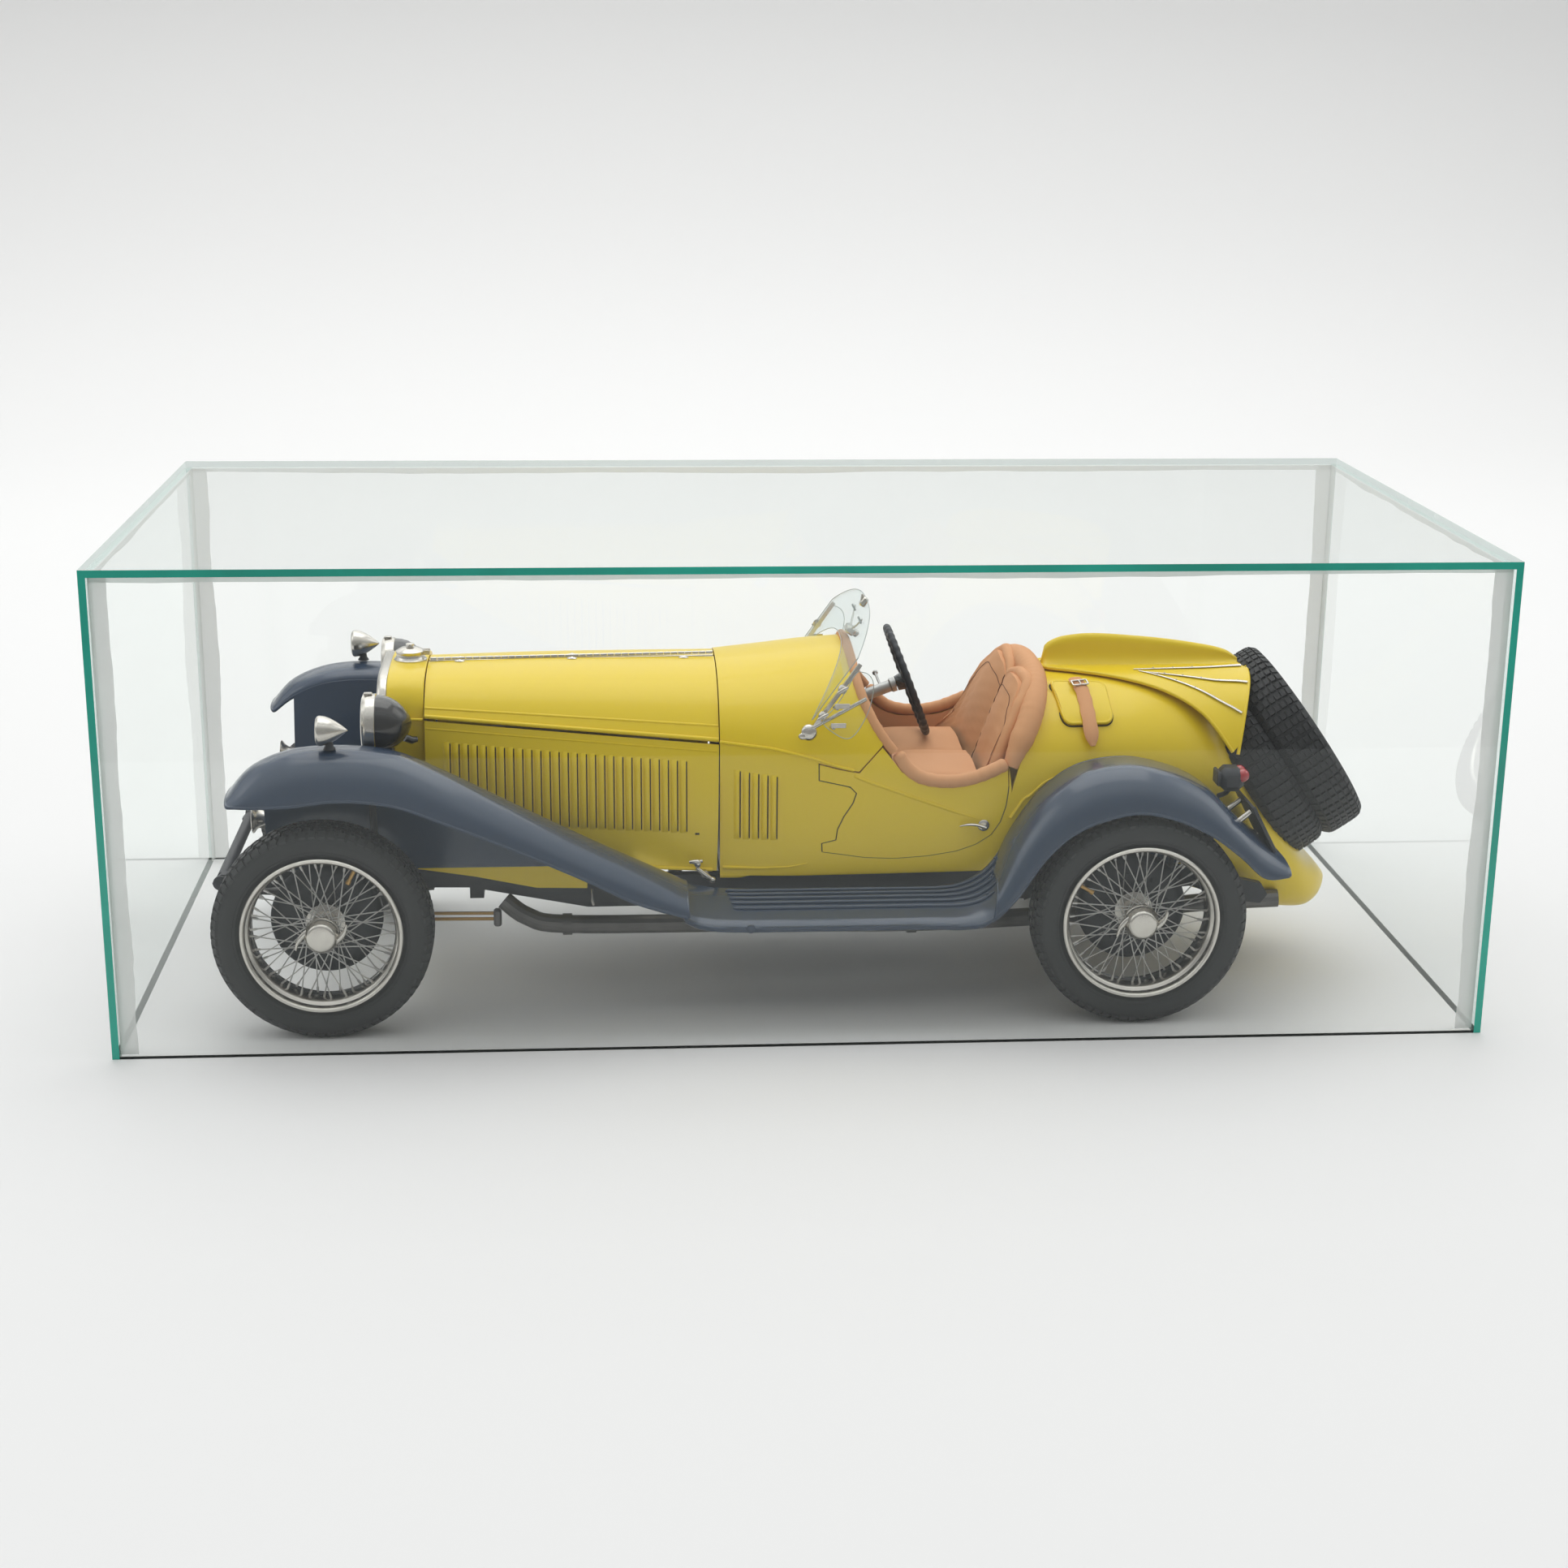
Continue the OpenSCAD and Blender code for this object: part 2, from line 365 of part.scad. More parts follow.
module drum() difference() {
  turned_y([[-19.4, 0], [-19.4, 22.4], [-19, 23.4], [-12, 23.4], [-10, 21], [-10, 0]]);
  turned_y([[-20, 0], [-20, 21.4], [-11.6, 21.4], [-11.6, 0]]);
  rotate([90, 0, 0]) translate([0, 0, 5]) cylinder(h = 20, r = stub_r + fit);
}
module at_wheel(x, sd) car() translate([x, 0, 46]) scale([1, sd, 1]) translate([0, half_track, 0]) children();
module road_wheel(x, sd) color([0.72, 0.72, 0.72]) at_wheel(x, sd) { wheel_shape(); drum(); }
module tyre(x, sd) color([0.1, 0.1, 0.11]) at_wheel(x, sd) tyre_shape();
module wheel_front_left() road_wheel(0, -1);
module wheel_front_right() road_wheel(0, 1);
module wheel_rear_left() road_wheel(rx, -1);
module wheel_rear_right() road_wheel(rx, 1);
module tyre_front_left() tyre(0, -1);
module tyre_front_right() tyre(0, 1);
module tyre_rear_left() tyre(rx, -1);
module tyre_rear_right() tyre(rx, 1);
module knuckle(sd) color([0.3, 0.31, 0.33]) at_wheel(0, sd) {
  rotate([90, 0, 0]) translate([0, 0, -4]) cylinder(h = 22, r = stub_r);
  turned_y([[-19.9, 0], [-19.9, 20.6], [-19.4, 21], [-18.4, 21], [-18, 20.6], [-18, 0]]);
  translate([0, half_track * -0 - 24, -5.4]) cylinder(h = 10.8, r = 2.4);
  for (z = [4.4, -4.4]) translate([0, -22, z]) cube([6, 7, 1.8], center = true);
}
module knuckle_left() knuckle(-1);
module knuckle_right() knuckle(1);

module spare(i) car() translate([415.2 + 16.9 * i, 0, 91.4 + 10.6 * i]) rotate([0, -tilt, 0]) rotate([0, 0, -90]) children();
module spare_tyres() color([0.1, 0.1, 0.11]) for (i = [0, 1.18]) spare(i) tyre_shape();
module spare_wheels() color([0.72, 0.72, 0.72]) for (i = [0, 1.18]) spare(i) turned_y([[-5, rim_r - 2.8], [-9, rim_r - 1.8],
  [-9.6, rim_r + 0.2], [-8, rim_r + 0.2], [-7.2, rim_r - 0.4], [-6.9, rim_r], [6.9, rim_r], [7.2, rim_r - 0.4],
  [8, rim_r + 0.2], [9.6, rim_r + 0.2], [9, rim_r - 1.8], [5, rim_r - 2.8]]);

// ---- cockpit -------------------------------------------------------------
module at_steer() car() translate([255.5, 25, 124.5]) rotate([0, 90 - lean, 0]) children();
module steering_wheel() color([0.12, 0.12, 0.13]) at_steer() {
  rotate_extrude() translate([wheel_r, 0]) circle(r = 2.1, $fn = 24);
  for (a = [0:90:359]) rotate([0, 0, a + 45]) translate([12.6, 0, -1]) cube([21.5, 2.2, 1.6], center = true);
  translate([0, 0, -5]) cylinder(h = 6, r = 4);
  translate([0, 0, -18]) cylinder(h = 13.5, r = 1.5);
}
module steering_column() color([0.7, 0.7, 0.7]) at_steer() difference() {
  translate([0, 0, -50]) cylinder(h = 44.9, r = 2.7);
  translate([0, 0, -19]) cylinder(h = 20, r = 1.5 + fit);
}
module seat_cushion() color([0.8, 0.5, 0.3]) car() {
  // the driver's half stays flat, clear of the steering wheel
  translate([260.8, 0, 79]) cube([27.6, 92, 38], center = true);
  translate([259.4, -22, 99.5]) scale([1, 1, 0.3]) rotate([90, 0, 0]) cylinder(h = 40, r = 12, center = true);
}
module seat_back() color([0.8, 0.5, 0.3]) car() {
  sheet([for (s = [0:0.1:1]) let(x = 284 + 15 * s, zt = 92 + 44 * s)
    [for (t = [-1:0.0833:1]) let(y = t * (50 - 14 * s * s), lobe = 3.5 * abs(cos(90 * t * 2 + 90)))
      [x + 6 * t * t * (1 - s * 0.6) - lobe * 1.2, y, zt - 9 * s * t * t]]], -6.5);
}
module cockpit_trim() color([0.8, 0.5, 0.3]) car() {
  both() tube(crs([[292, 60.2, 109], [296, 57.5, 118], [301, 49, 128], [305.5, 34, 135.2], [308, 18, 138.4],
    [308.6, 3, 139]], 16), roll_r, [1, 0, 0], 8);
  both() tube(crs([[237.6, 44.5, 139], [238.2, 52, 131.5], [238.8, 56.5, 123.5], [241.6, 58, 117.6]], 8), 1.7, [1, 0, 0], 8);
}
module door(sd) color([0.93, 0.86, 0.15]) car() scale([1, sd, 1]) {
  zb = [[210, 79], [213, 69.5], [225, 67.5], [245, 66.5], [268, 69.2], [280, 74.5], [289.4, 90]];
  zt = [[210, 108.4], [222, 107.8], [234, 113.6], [240, 108], [246, 103], [258, 98.6], [272, 98.8], [289.4, 105]];
  xs = [210.2, 213, 218, 224, 230, 234.4, 240, 246, 252, 258, 265, 272, 280, 285, 289];
  sheet([for (x = xs) let(v0 = v_of(x, at(zt, x)), v1 = v_of(x, at(zb, x) + 0.3)) [for (s = [0:0.125:1])
    sec(x, v0 + (v1 - v0) * s) + [0, 0.35, 0]]]);
  tube(crs([[242.6, 59.4, 111.6], [249, 59.6, 105], [258, 59.8, 101.9], [268, 59.8, 101.7], [278, 59.8, 103.4],
    [287.4, 59.6, 107.6]], 12), roll_r, [0, 1, 0], 8);
  translate([278, 61.6, 79.5]) rotate([-90, 0, 0]) cylinder(h = 2, r = 1.8);
  translate([272.5, 63.8, 80]) cube([11, 1.2, 2.2], center = true);
}
module door_left() door(-1);
module door_right() door(1);

// ---- windscreen ----------------------------------------------------------
rake = 35.5;
module at_screen() car() translate([204, 0, 124]) rotate([0, rake, 0]) rotate([90, 0, 90]) children();
module windscreen_frame() color([0.7, 0.7, 0.7]) {
  at_screen() both() {
    translate([0, 0, -0.7]) linear_extrude(2.2) polygon([[59.2, -2], [61.6, -2], [62, 35], [60.2, 35.6]]);
    for (h = [8, 22]) translate([61.4, h, 0.6]) rotate([0, 90, 0]) cylinder(h = 2.4, r = 1.3);
    translate([59.8, 0, 0.4]) rotate([0, 90, 0]) cylinder(h = 3.4, r = 2.8);
  }
  at_screen() translate([0, 37, 1.4]) cube([9, 4, 2.6], center = true);
}
module windscreen_glass() color([0.85, 0.92, 0.92, 0.4]) {
  deflectors();
  at_screen() translate([0, 0, -1.9]) linear_extrude(1.1)
  polygon(concat([for (t = [-1:0.1:1]) [58.6 * t, 53 - 16 * pow(abs(t), 2.6)]],
    [for (t = [1:-0.1:-1]) [58.6 * t, 33.2 - 29.2 * pow(abs(t), 2.4)]]));
}
module deflectors() car() both()
  plate_xz([for (q = crs([[216, 143], [222, 149], [230, 150], [236, 145], [237.5, 136], [233, 126], [225, 119.5],
    [216.5, 124], [213, 133], [216, 143]], 26)) q], 64.6, 1);

// ---- locker lid, rear fittings -------------------------------------------
module locker_lid() color([0.93, 0.86, 0.15]) car() {
  g = [for (x = [312.9:4:337]) [for (s = [0:0.125:1]) sec(x, 0.36 + 0.3 * s) + [0, 0.9, 1.6]]];
  sheet(mir(g));
}
module locker_strap() color([0.72, 0.45, 0.25]) car() {
  g = [for (x = [321.5, 325, 328.5]) [for (s = [0:0.1:1]) sec(x, 0.38 + 0.46 * s) + [s * 4, 2.3, 3.1]]];
  sheet(mir(g), 1);
}
module tail_lamps() color([0.12, 0.1, 0.1]) car() {
  both() translate([387, 58, 101]) {
    cube([12, 11, 8], center = true);
    translate([0, -7, 0]) cube([3, 4, 3], center = true);
    for (y = [-3, 3]) translate([5.9, y, 0]) rotate([0, 90, 0]) cylinder(h = 1.8, r = 2.4);
  }
  translate([397, -64, 86]) rotate([0, -28, 0]) cube([1.2, 34, 20], center = true);
  for (y = [-52, -76]) translate([393.5, y, 88]) rotate([0, 62, 0]) cylinder(h = 8, r = 1.1, center = true);
}

case_front_glass();
case_back_glass();
case_left_glass();
case_right_glass();
case_top_glass();
case_sealant();
chassis_frame();
leaf_springs();
front_axle();
rear_axle();
engine_block();
exhaust_pipe();
floor_pan();
body_cowl();
body_sills();
body_tail();
tail_deck();
tail_strips();
bonnet_top_left();
bonnet_top_right();
bonnet_side_left();
bonnet_side_right();
radiator_shell();
radiator_rim();
radiator_core();
radiator_cap();
headlamp_bowls();
headlamp_rims();
headlamp_lenses();
horns_and_brackets();
wing_lamps();
wing_front_left();
wing_front_right();
wing_rear_left();
wing_rear_right();
running_boards();
wheel_front_left();
wheel_front_right();
wheel_rear_left();
wheel_rear_right();
tyre_front_left();
tyre_front_right();
tyre_rear_left();
tyre_rear_right();
knuckle_left();
knuckle_right();
spare_tyres();
spare_wheels();
steering_wheel();
steering_column();
seat_cushion();
seat_back();
cockpit_trim();
door_left();
door_right();
windscreen_frame();
windscreen_glass();
locker_lid();
locker_strap();
tail_lamps();
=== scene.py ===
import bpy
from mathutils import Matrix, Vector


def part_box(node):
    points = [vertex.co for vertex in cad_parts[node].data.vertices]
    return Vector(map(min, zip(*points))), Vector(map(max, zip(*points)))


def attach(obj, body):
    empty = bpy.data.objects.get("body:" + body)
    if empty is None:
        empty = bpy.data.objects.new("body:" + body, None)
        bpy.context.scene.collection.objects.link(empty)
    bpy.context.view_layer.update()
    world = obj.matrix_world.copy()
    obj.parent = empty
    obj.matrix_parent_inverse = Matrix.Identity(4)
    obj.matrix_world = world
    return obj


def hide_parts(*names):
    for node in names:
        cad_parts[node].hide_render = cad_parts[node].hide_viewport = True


bl_info = {
    "name": "Display case with scale model roadster",
    "version": (1, 0, 0),
    "blender": (4, 5, 0),
    "location": "View3D > Sidebar > Roadster case",
    "description": "Builds the look of a glass case and the wire-wheeled roadster model inside it",
    "category": "Object",
}

import math

import bpy
import numpy as np
from bpy.props import FloatProperty, FloatVectorProperty, IntProperty, PointerProperty
from mathutils import Matrix, Vector
from mathutils.geometry import delaunay_2d_cdt

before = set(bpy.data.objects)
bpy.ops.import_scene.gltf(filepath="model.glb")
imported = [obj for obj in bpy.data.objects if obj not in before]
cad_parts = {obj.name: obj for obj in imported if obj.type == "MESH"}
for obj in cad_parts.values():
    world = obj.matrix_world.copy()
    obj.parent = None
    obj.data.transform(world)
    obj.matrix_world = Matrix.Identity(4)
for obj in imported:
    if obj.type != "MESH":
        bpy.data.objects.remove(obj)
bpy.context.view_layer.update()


# ---- places taken from the frame ------------------------------------------
def middle(node):
    low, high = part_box(node)
    return (low + high) / 2


FRONT_LEFT, FRONT_RIGHT, REAR_LEFT = (
    middle("tyre_front_left"),
    middle("tyre_front_right"),
    middle("tyre_rear_left"),
)
PLANE_Y = (FRONT_LEFT.y + FRONT_RIGHT.y) / 2
CAR = np.array([FRONT_LEFT.x, PLANE_Y, 0.0])
HUB_Z = FRONT_LEFT.z * 1000
WHEELBASE = (REAR_LEFT.x - FRONT_LEFT.x) * 1000
HALF_TRACK = (PLANE_Y - FRONT_LEFT.y) * 1000
MM = 0.001


# ---- curves ---------------------------------------------------------------
def flow(table, x):
    """Smooth curve through (x, value) pairs that never overshoots them."""
    t = np.array(table, float)
    xs, ys = t[:, 0], t[:, 1]
    h, d = np.diff(xs), np.diff(ys) / np.diff(xs)
    m = np.zeros(len(xs))
    both = d[:-1] * d[1:] > 0
    w1, w2 = 2 * h[1:] + h[:-1], h[1:] + 2 * h[:-1]
    safe = np.where(both, d[:-1], 1), np.where(both, d[1:], 1)
    m[1:-1] = np.where(both, (w1 + w2) / (w1 / safe[0] + w2 / safe[1]), 0)
    m[0], m[-1] = d[0], d[-1]
    x = np.clip(np.asarray(x, float), xs[0], xs[-1])
    i = np.clip(np.searchsorted(xs, x, side="right") - 1, 0, len(xs) - 2)
    s = (x - xs[i]) / h[i]
    return (
        (1 + 2 * s) * (1 - s) ** 2 * ys[i]
        + s * (1 - s) ** 2 * h[i] * m[i]
        + s * s * (3 - 2 * s) * ys[i + 1]
        + s * s * (s - 1) * h[i] * m[i + 1]
    )


def through(points, count):
    """Points spaced evenly along a smooth curve through the given ones."""
    p = np.array(points, float)
    n = len(p) - 1
    fine = []
    for k in np.linspace(0, n, n * 24 + 1):
        i = min(int(k), n - 1)
        t = k - i
        a, b, c, d = p[max(i - 1, 0)], p[i], p[i + 1], p[min(i + 2, n)]
        fine.append(
            0.5 * (2 * b + (c - a) * t + (2 * a - 5 * b + 4 * c - d) * t * t + (3 * b - a - 3 * c + d) * t**3)
        )
    return spread(np.array(fine), count)


def spread(p, count):
    """The same path with points at even distances."""
    p = np.asarray(p, float)
    run = np.concatenate([[0], np.cumsum(np.linalg.norm(np.diff(p, axis=0), axis=1))])
    at = np.linspace(0, run[-1], count)
    return np.stack([np.interp(at, run, p[:, k]) for k in range(p.shape[1])], 1)


def unit(v):
    v = np.asarray(v, float)
    return v / np.maximum(np.linalg.norm(v, axis=-1, keepdims=True), 1e-12)


# ---- shapes ---------------------------------------------------------------
class Shape:
    """Collects rounded, turned and drawn pieces, in millimetres from the front hub line."""

    def __init__(self):
        self.verts, self.faces, self.mats, self.count = [], [], [], 0

    def add(self, verts, faces, mat=0):
        verts = np.asarray(verts, float).reshape(-1, 3)
        self.verts.append(verts)
        self.faces += [tuple(int(i) + self.count for i in f) for f in faces]
        self.mats += [mat] * len(faces)
        self.count += len(verts)
        return self

    def grid(self, g, close_u=False, close_v=False, mat=0, flip=False):
        g = np.asarray(g, float)
        m, n = g.shape[:2]
        faces = []
        for i in range(m if close_u else m - 1):
            for j in range(n if close_v else n - 1):
                a, b = i * n + j, i * n + (j + 1) % n
                c, d = ((i + 1) % m) * n + (j + 1) % n, ((i + 1) % m) * n + j
                faces.append((a, d, c, b) if flip else (a, b, c, d))
        return self.add(g.reshape(-1, 3), faces, mat)

    def tube(self, path, radius, sides=10, mat=0, flat=1.0, ref=None, caps=True):
        p = np.asarray(path, float)
        r = np.broadcast_to(np.asarray(radius, float), (len(p),))
        t = unit(np.gradient(p, axis=0))
        ref = np.array(ref if ref is not None else ([0, 0, 1] if abs(t[:, 2]).max() < 0.9 else [0, 1, 0]),
            float)
        b = np.cross(t, ref)
        if np.linalg.norm(b, axis=1).min() < 0.05:
            b = np.cross(t, [0.31, 0.87, 0.38])
        b = unit(b)
        c = np.cross(b, t)
        a = np.linspace(0, 2 * math.pi, sides, endpoint=False)
        ring = p[:, None] + r[:, None, None] * (
            np.cos(a)[None, :, None] * b[:, None] + flat * np.sin(a)[None, :, None] * c[:, None]
        )
        self.grid(ring, close_v=True, mat=mat)
        if caps:
            k = self.count - len(p) * sides
            self.faces += [tuple(k + q for q in range(sides))[::-1], tuple(self.count - sides + q
                for q in range(sides))]
            self.mats += [mat, mat]
        return self

    def turned(self, profile, origin=(0, 0, 0), axis=(0, 1, 0), sides=48, mat=0):
        """profile is (along axis, radius) pairs."""
        axis = unit(axis)
        side = unit(np.cross(axis, [0.123, 0.456, 0.9]))
        up = np.cross(axis, side)
        a = np.linspace(0, 2 * math.pi, sides, endpoint=False)
        spin = np.cos(a)[:, None] * side + np.sin(a)[:, None] * up
        g = np.array([np.array(origin) + s * axis + max(r, 0.001) * spin for s, r in profile])
        return self.grid(g, close_v=True, mat=mat, flip=True)

    def block(self, centre, size, round_by=0.25, turn=None, mat=0):
        """A box with chamfered edges, turned by a 3x3 matrix."""
        s = np.array(size, float) / 2
        c = min(round_by, s.min() * 0.6)
        pts, idx = [], {}
        for k in range(8):
            sign = np.array([1 if k & 1 else -1, 1 if k & 2 else -1, 1 if k & 4 else -1])
            for ax in range(3):
                p = sign * (s - c)
                p[ax] = sign[ax] * s[ax]
                idx[k, ax] = len(pts)
                pts.append(p)
        faces = []
        for ax in range(3):
            o = [q for q in range(3) if q != ax]
            for hi in (0, 1):
                ks = [k for k in range(8) if (k >> ax & 1) == hi]
                ring = [ks[0], ks[1], ks[3], ks[2]]
                f = [idx[k, ax] for k in ring]
                faces.append(f)
            for e in range(4):
                k0 = (e & 1) << o[0] | (e >> 1 & 1) << o[1]
                k1 = k0 | 1 << ax
                faces.append([idx[k0, o[0]], idx[k0, o[1]], idx[k1, o[1]], idx[k1, o[0]]])
        faces += [[idx[k, 0], idx[k, 1], idx[k, 2]] for k in range(8)]
        pts = np.array(pts)
        fixed = []
        for f in faces:
            n = np.cross(pts[f[1]] - pts[f[0]], pts[f[2]] - pts[f[0]])
            fixed.append(f if n @ pts[f].mean(0) > 0 else f[::-1])
        if turn is not None:
            pts = pts @ np.array(turn).T
        return self.add(pts + np.array(centre, float), fixed, mat)

    def ball(self, centre, radii, mat=0, rings=8, sides=14):
        a = np.linspace(0.0001, math.pi - 0.0001, rings)
        b = np.linspace(0, 2 * math.pi, sides, endpoint=False)
        g = np.array([[(math.sin(u) * math.cos(v), math.sin(u) * math.sin(v), math.cos(u)) for v in b]
            for u in a])
        return self.grid(g * np.broadcast_to(radii, 3) + np.array(centre), close_v=True, mat=mat)

    def plate(self, outline, thick, place, mat=0):
        """A flat plate: outline in (a, b), place maps (a, b, depth) arrays to points."""
        o = np.asarray(outline, float)
        n = len(o)
        top = place(o[:, 0], o[:, 1], np.full(n, thick / 2))
        low = place(o[:, 0], o[:, 1], np.full(n, -thick / 2))
        self.add(np.concatenate([top, low]), [tuple(range(n)), tuple(range(2 * n - 1, n - 1, -1))], mat)
        rim = np.stack([top, low])
        self.grid(rim, close_v=True, mat=mat)
        return self

    def mirrored(self):
        """Adds the same again on the other side of the car."""
        v = np.concatenate(self.verts) * [1, -1, 1]
        self.add(v, [f[::-1] for f in self.faces], 0)
        half = len(self.mats) // 2
        self.mats = self.mats[:half] * 2
        return self

    def side(self, sd):
        """Keeps the shape on side +1, or moves it to side -1."""
        if sd < 0:
            self.verts = [v * [1, -1, 1] for v in self.verts]
            self.faces = [f[::-1] for f in self.faces]
        return self

    def make(self, name, body, slot, *materials, replaces=(), sharp=35, shift=None):
        v = np.concatenate(self.verts) * MM + (CAR if shift is None else np.array(shift))
        mesh = bpy.data.meshes.new(name)
        mesh.from_pydata(v.tolist(), [], self.faces)
        mesh.polygons.foreach_set("material_index", self.mats)
        for m in materials:
            mesh.materials.append(m)
        mesh.validate()
        mesh.shade_smooth()
        mesh.set_sharp_from_angle(angle=math.radians(sharp))
        return settle(bpy.data.objects.new(name, mesh), body, replaces)


def settle(piece, body, replaces=()):
    bpy.context.scene.collection.objects.link(piece)
    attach(piece, body)
    if replaces:
        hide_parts(*replaces)
    return piece


def inside(points, outline):
    x, y = points[:, 0], points[:, 1]
    hit = np.zeros(len(points), bool)
    a, b = outline, np.roll(outline, -1, 0)
    for (x0, y0), (x1, y1) in zip(a, b):
        cross = (y0 > y) != (y1 > y)
        with np.errstate(divide="ignore", invalid="ignore"):
            hit ^= cross & (x < (x1 - x0) * (y - y0) / (y1 - y0 + 1e-30) + x0)
    return hit


def near(points, outline):
    """Distance of each point from the outline."""
    best = np.full(len(points), 1e9)
    for a, b in zip(outline, np.roll(outline, -1, 0)):
        d = b - a
        t = np.clip(((points - a) @ d) / max(d @ d, 1e-12), 0, 1)
        best = np.minimum(best, np.linalg.norm(points - a - t[:, None] * d, axis=1))
    return best


def pressed(name, outline, surface, body, material, step=3.0, thick=1.0, lift=0.0, replaces=(),
        core=(0, 70)):
    """A pressed panel: the outline, in the surface's own two measures, cut out of a smooth surface."""
    o = np.asarray(outline, float)
    ring = []
    for a, b in zip(o, np.roll(o, -1, 0)):
        n = max(1, int(np.ceil(np.linalg.norm(b - a) / (step * 0.6))))
        ring += [a + (b - a) * k / n for k in range(n)]
    ring = np.array(ring)
    low, high = ring.min(0), ring.max(0)
    u, v = np.meshgrid(np.arange(low[0], high[0], step), np.arange(low[1], high[1], step))
    v = v + (np.arange(v.shape[1]) % 2)[None, :] * step * 0.5
    inner = np.stack([u.ravel(), v.ravel()], 1)
    inner = inner[inside(inner, ring)]
    inner = inner[near(inner, ring) > step * 0.45]
    pts = np.concatenate([ring, inner])
    n = len(ring)
    out = delaunay_2d_cdt([Vector(p) for p in pts], [], [list(range(n))], 1, 1e-6)
    uv = np.array([[p[0], p[1]] for p in out[0]])
    tris = np.array([list(f) for f in out[2]])
    p = surface(uv[:, 0], uv[:, 1])
    e = 0.25
    du = surface(uv[:, 0] + e, uv[:, 1]) - surface(uv[:, 0] - e, uv[:, 1])
    dv = surface(uv[:, 0], uv[:, 1] + e) - surface(uv[:, 0], uv[:, 1] - e)
    nor = unit(np.cross(du, dv))
    away = p - np.array([0, core[0], core[1]]) * [0, 1, 1]
    away[:, 0] = 0
    if (nor * away).sum() < 0:
        nor = -nor
    p = p + nor * lift
    q = p - nor * thick
    face_n = np.cross(p[tris[:, 1]] - p[tris[:, 0]], p[tris[:, 2]] - p[tris[:, 0]])
    flip = (face_n * nor[tris[:, 0]]).sum(1) < 0
    tris[flip] = tris[flip][:, ::-1]
    # boundary edges, in the direction of their triangle
    edges = {}
    for t in tris:
        for a, b in ((t[0], t[1]), (t[1], t[2]), (t[2], t[0])):
            edges[a, b] = 1
    rim = [(a, b) for a, b in edges if (b, a) not in edges]
    count = len(p)
    verts = [p, q]
    faces = [tuple(t) for t in tris] + [tuple(t[::-1] + count) for t in tris]
    loops = [nor[i] for t in tris for i in t] + [-nor[i] for t in tris for i in t[::-1]]
    k = 2 * count
    for a, b in rim:
        quad = np.array([p[b], p[a], q[a], q[b]])
        side_n = unit(np.cross(quad[1] - quad[0], quad[2] - quad[0]))
        verts.append(quad)
        faces.append((k, k + 1, k + 2, k + 3))
        loops += [side_n] * 4
        k += 4
    v = np.concatenate(verts) * MM + CAR
    mesh = bpy.data.meshes.new(name)
    mesh.from_pydata(v.tolist(), [], [tuple(int(i) for i in f) for f in faces])
    mesh.materials.append(material)
    mesh.shade_smooth()
    mesh.normals_split_custom_set([tuple(map(float, x)) for x in loops])
    return settle(bpy.data.objects.new(name, mesh), body, replaces)


# ---- finishes -------------------------------------------------------------
def finish(name, colour, rough=0.4, metal=0.0, coat=0.0, grain=0.0, grain_size=400.0, fleck=0.0, alpha=1.0):
    """A shader with a fine procedural grain in its bump and roughness."""
    m = bpy.data.materials.get(name)
    if m:
        return m
    m = bpy.data.materials.new(name)
    m.use_nodes = True
    nt = m.node_tree
    b = nt.nodes["Principled BSDF"]
    b.inputs["Base Color"].default_value = (*colour[:3], 1)
    b.inputs["Metallic"].default_value = metal
    b.inputs["Roughness"].default_value = rough
    b.inputs["Coat Weight"].default_value = coat
    b.inputs["Coat Roughness"].default_value = 0.06
    if alpha < 1:
        b.inputs["Alpha"].default_value = alpha
    where = nt.nodes.new("ShaderNodeTexCoord")
    noise = nt.nodes.new("ShaderNodeTexNoise")
    noise.inputs["Scale"].default_value = grain_size
    noise.inputs["Detail"].default_value = 6
    nt.links.new(where.outputs["Object"], noise.inputs["Vector"])
    span = nt.nodes.new("ShaderNodeMapRange")
    span.inputs["To Min"].default_value = max(rough - 0.05 - grain * 0.2, 0.02)
    span.inputs["To Max"].default_value = min(rough + 0.05 + grain * 0.2, 1)
    nt.links.new(noise.outputs["Fac"], span.inputs["Value"])
    nt.links.new(span.outputs["Result"], b.inputs["Roughness"])
    if grain:
        bump = nt.nodes.new("ShaderNodeBump")
        bump.inputs["Strength"].default_value = grain
        bump.inputs["Distance"].default_value = 0.0004
        nt.links.new(noise.outputs["Fac"], bump.inputs["Height"])
        nt.links.new(bump.outputs["Normal"], b.inputs["Normal"])
    if fleck:
        wide = nt.nodes.new("ShaderNodeTexNoise")
        wide.inputs["Scale"].default_value = grain_size * 0.12
        wide.inputs["Detail"].default_value = 4
        nt.links.new(where.outputs["Object"], wide.inputs["Vector"])
        ramp = nt.nodes.new("ShaderNodeValToRGB")
        ramp.color_ramp.elements[0].position = 0.3
        ramp.color_ramp.elements[1].position = 0.75
        ramp.color_ramp.elements[0].color = (*[c * (1 - fleck) for c in colour[:3]], 1)
        ramp.color_ramp.elements[1].color = (*[min(c * (1 + fleck), 1) for c in colour[:3]], 1)
        nt.links.new(wide.outputs["Fac"], ramp.inputs["Fac"])
        nt.links.new(ramp.outputs["Color"], b.inputs["Base Color"])
    return m


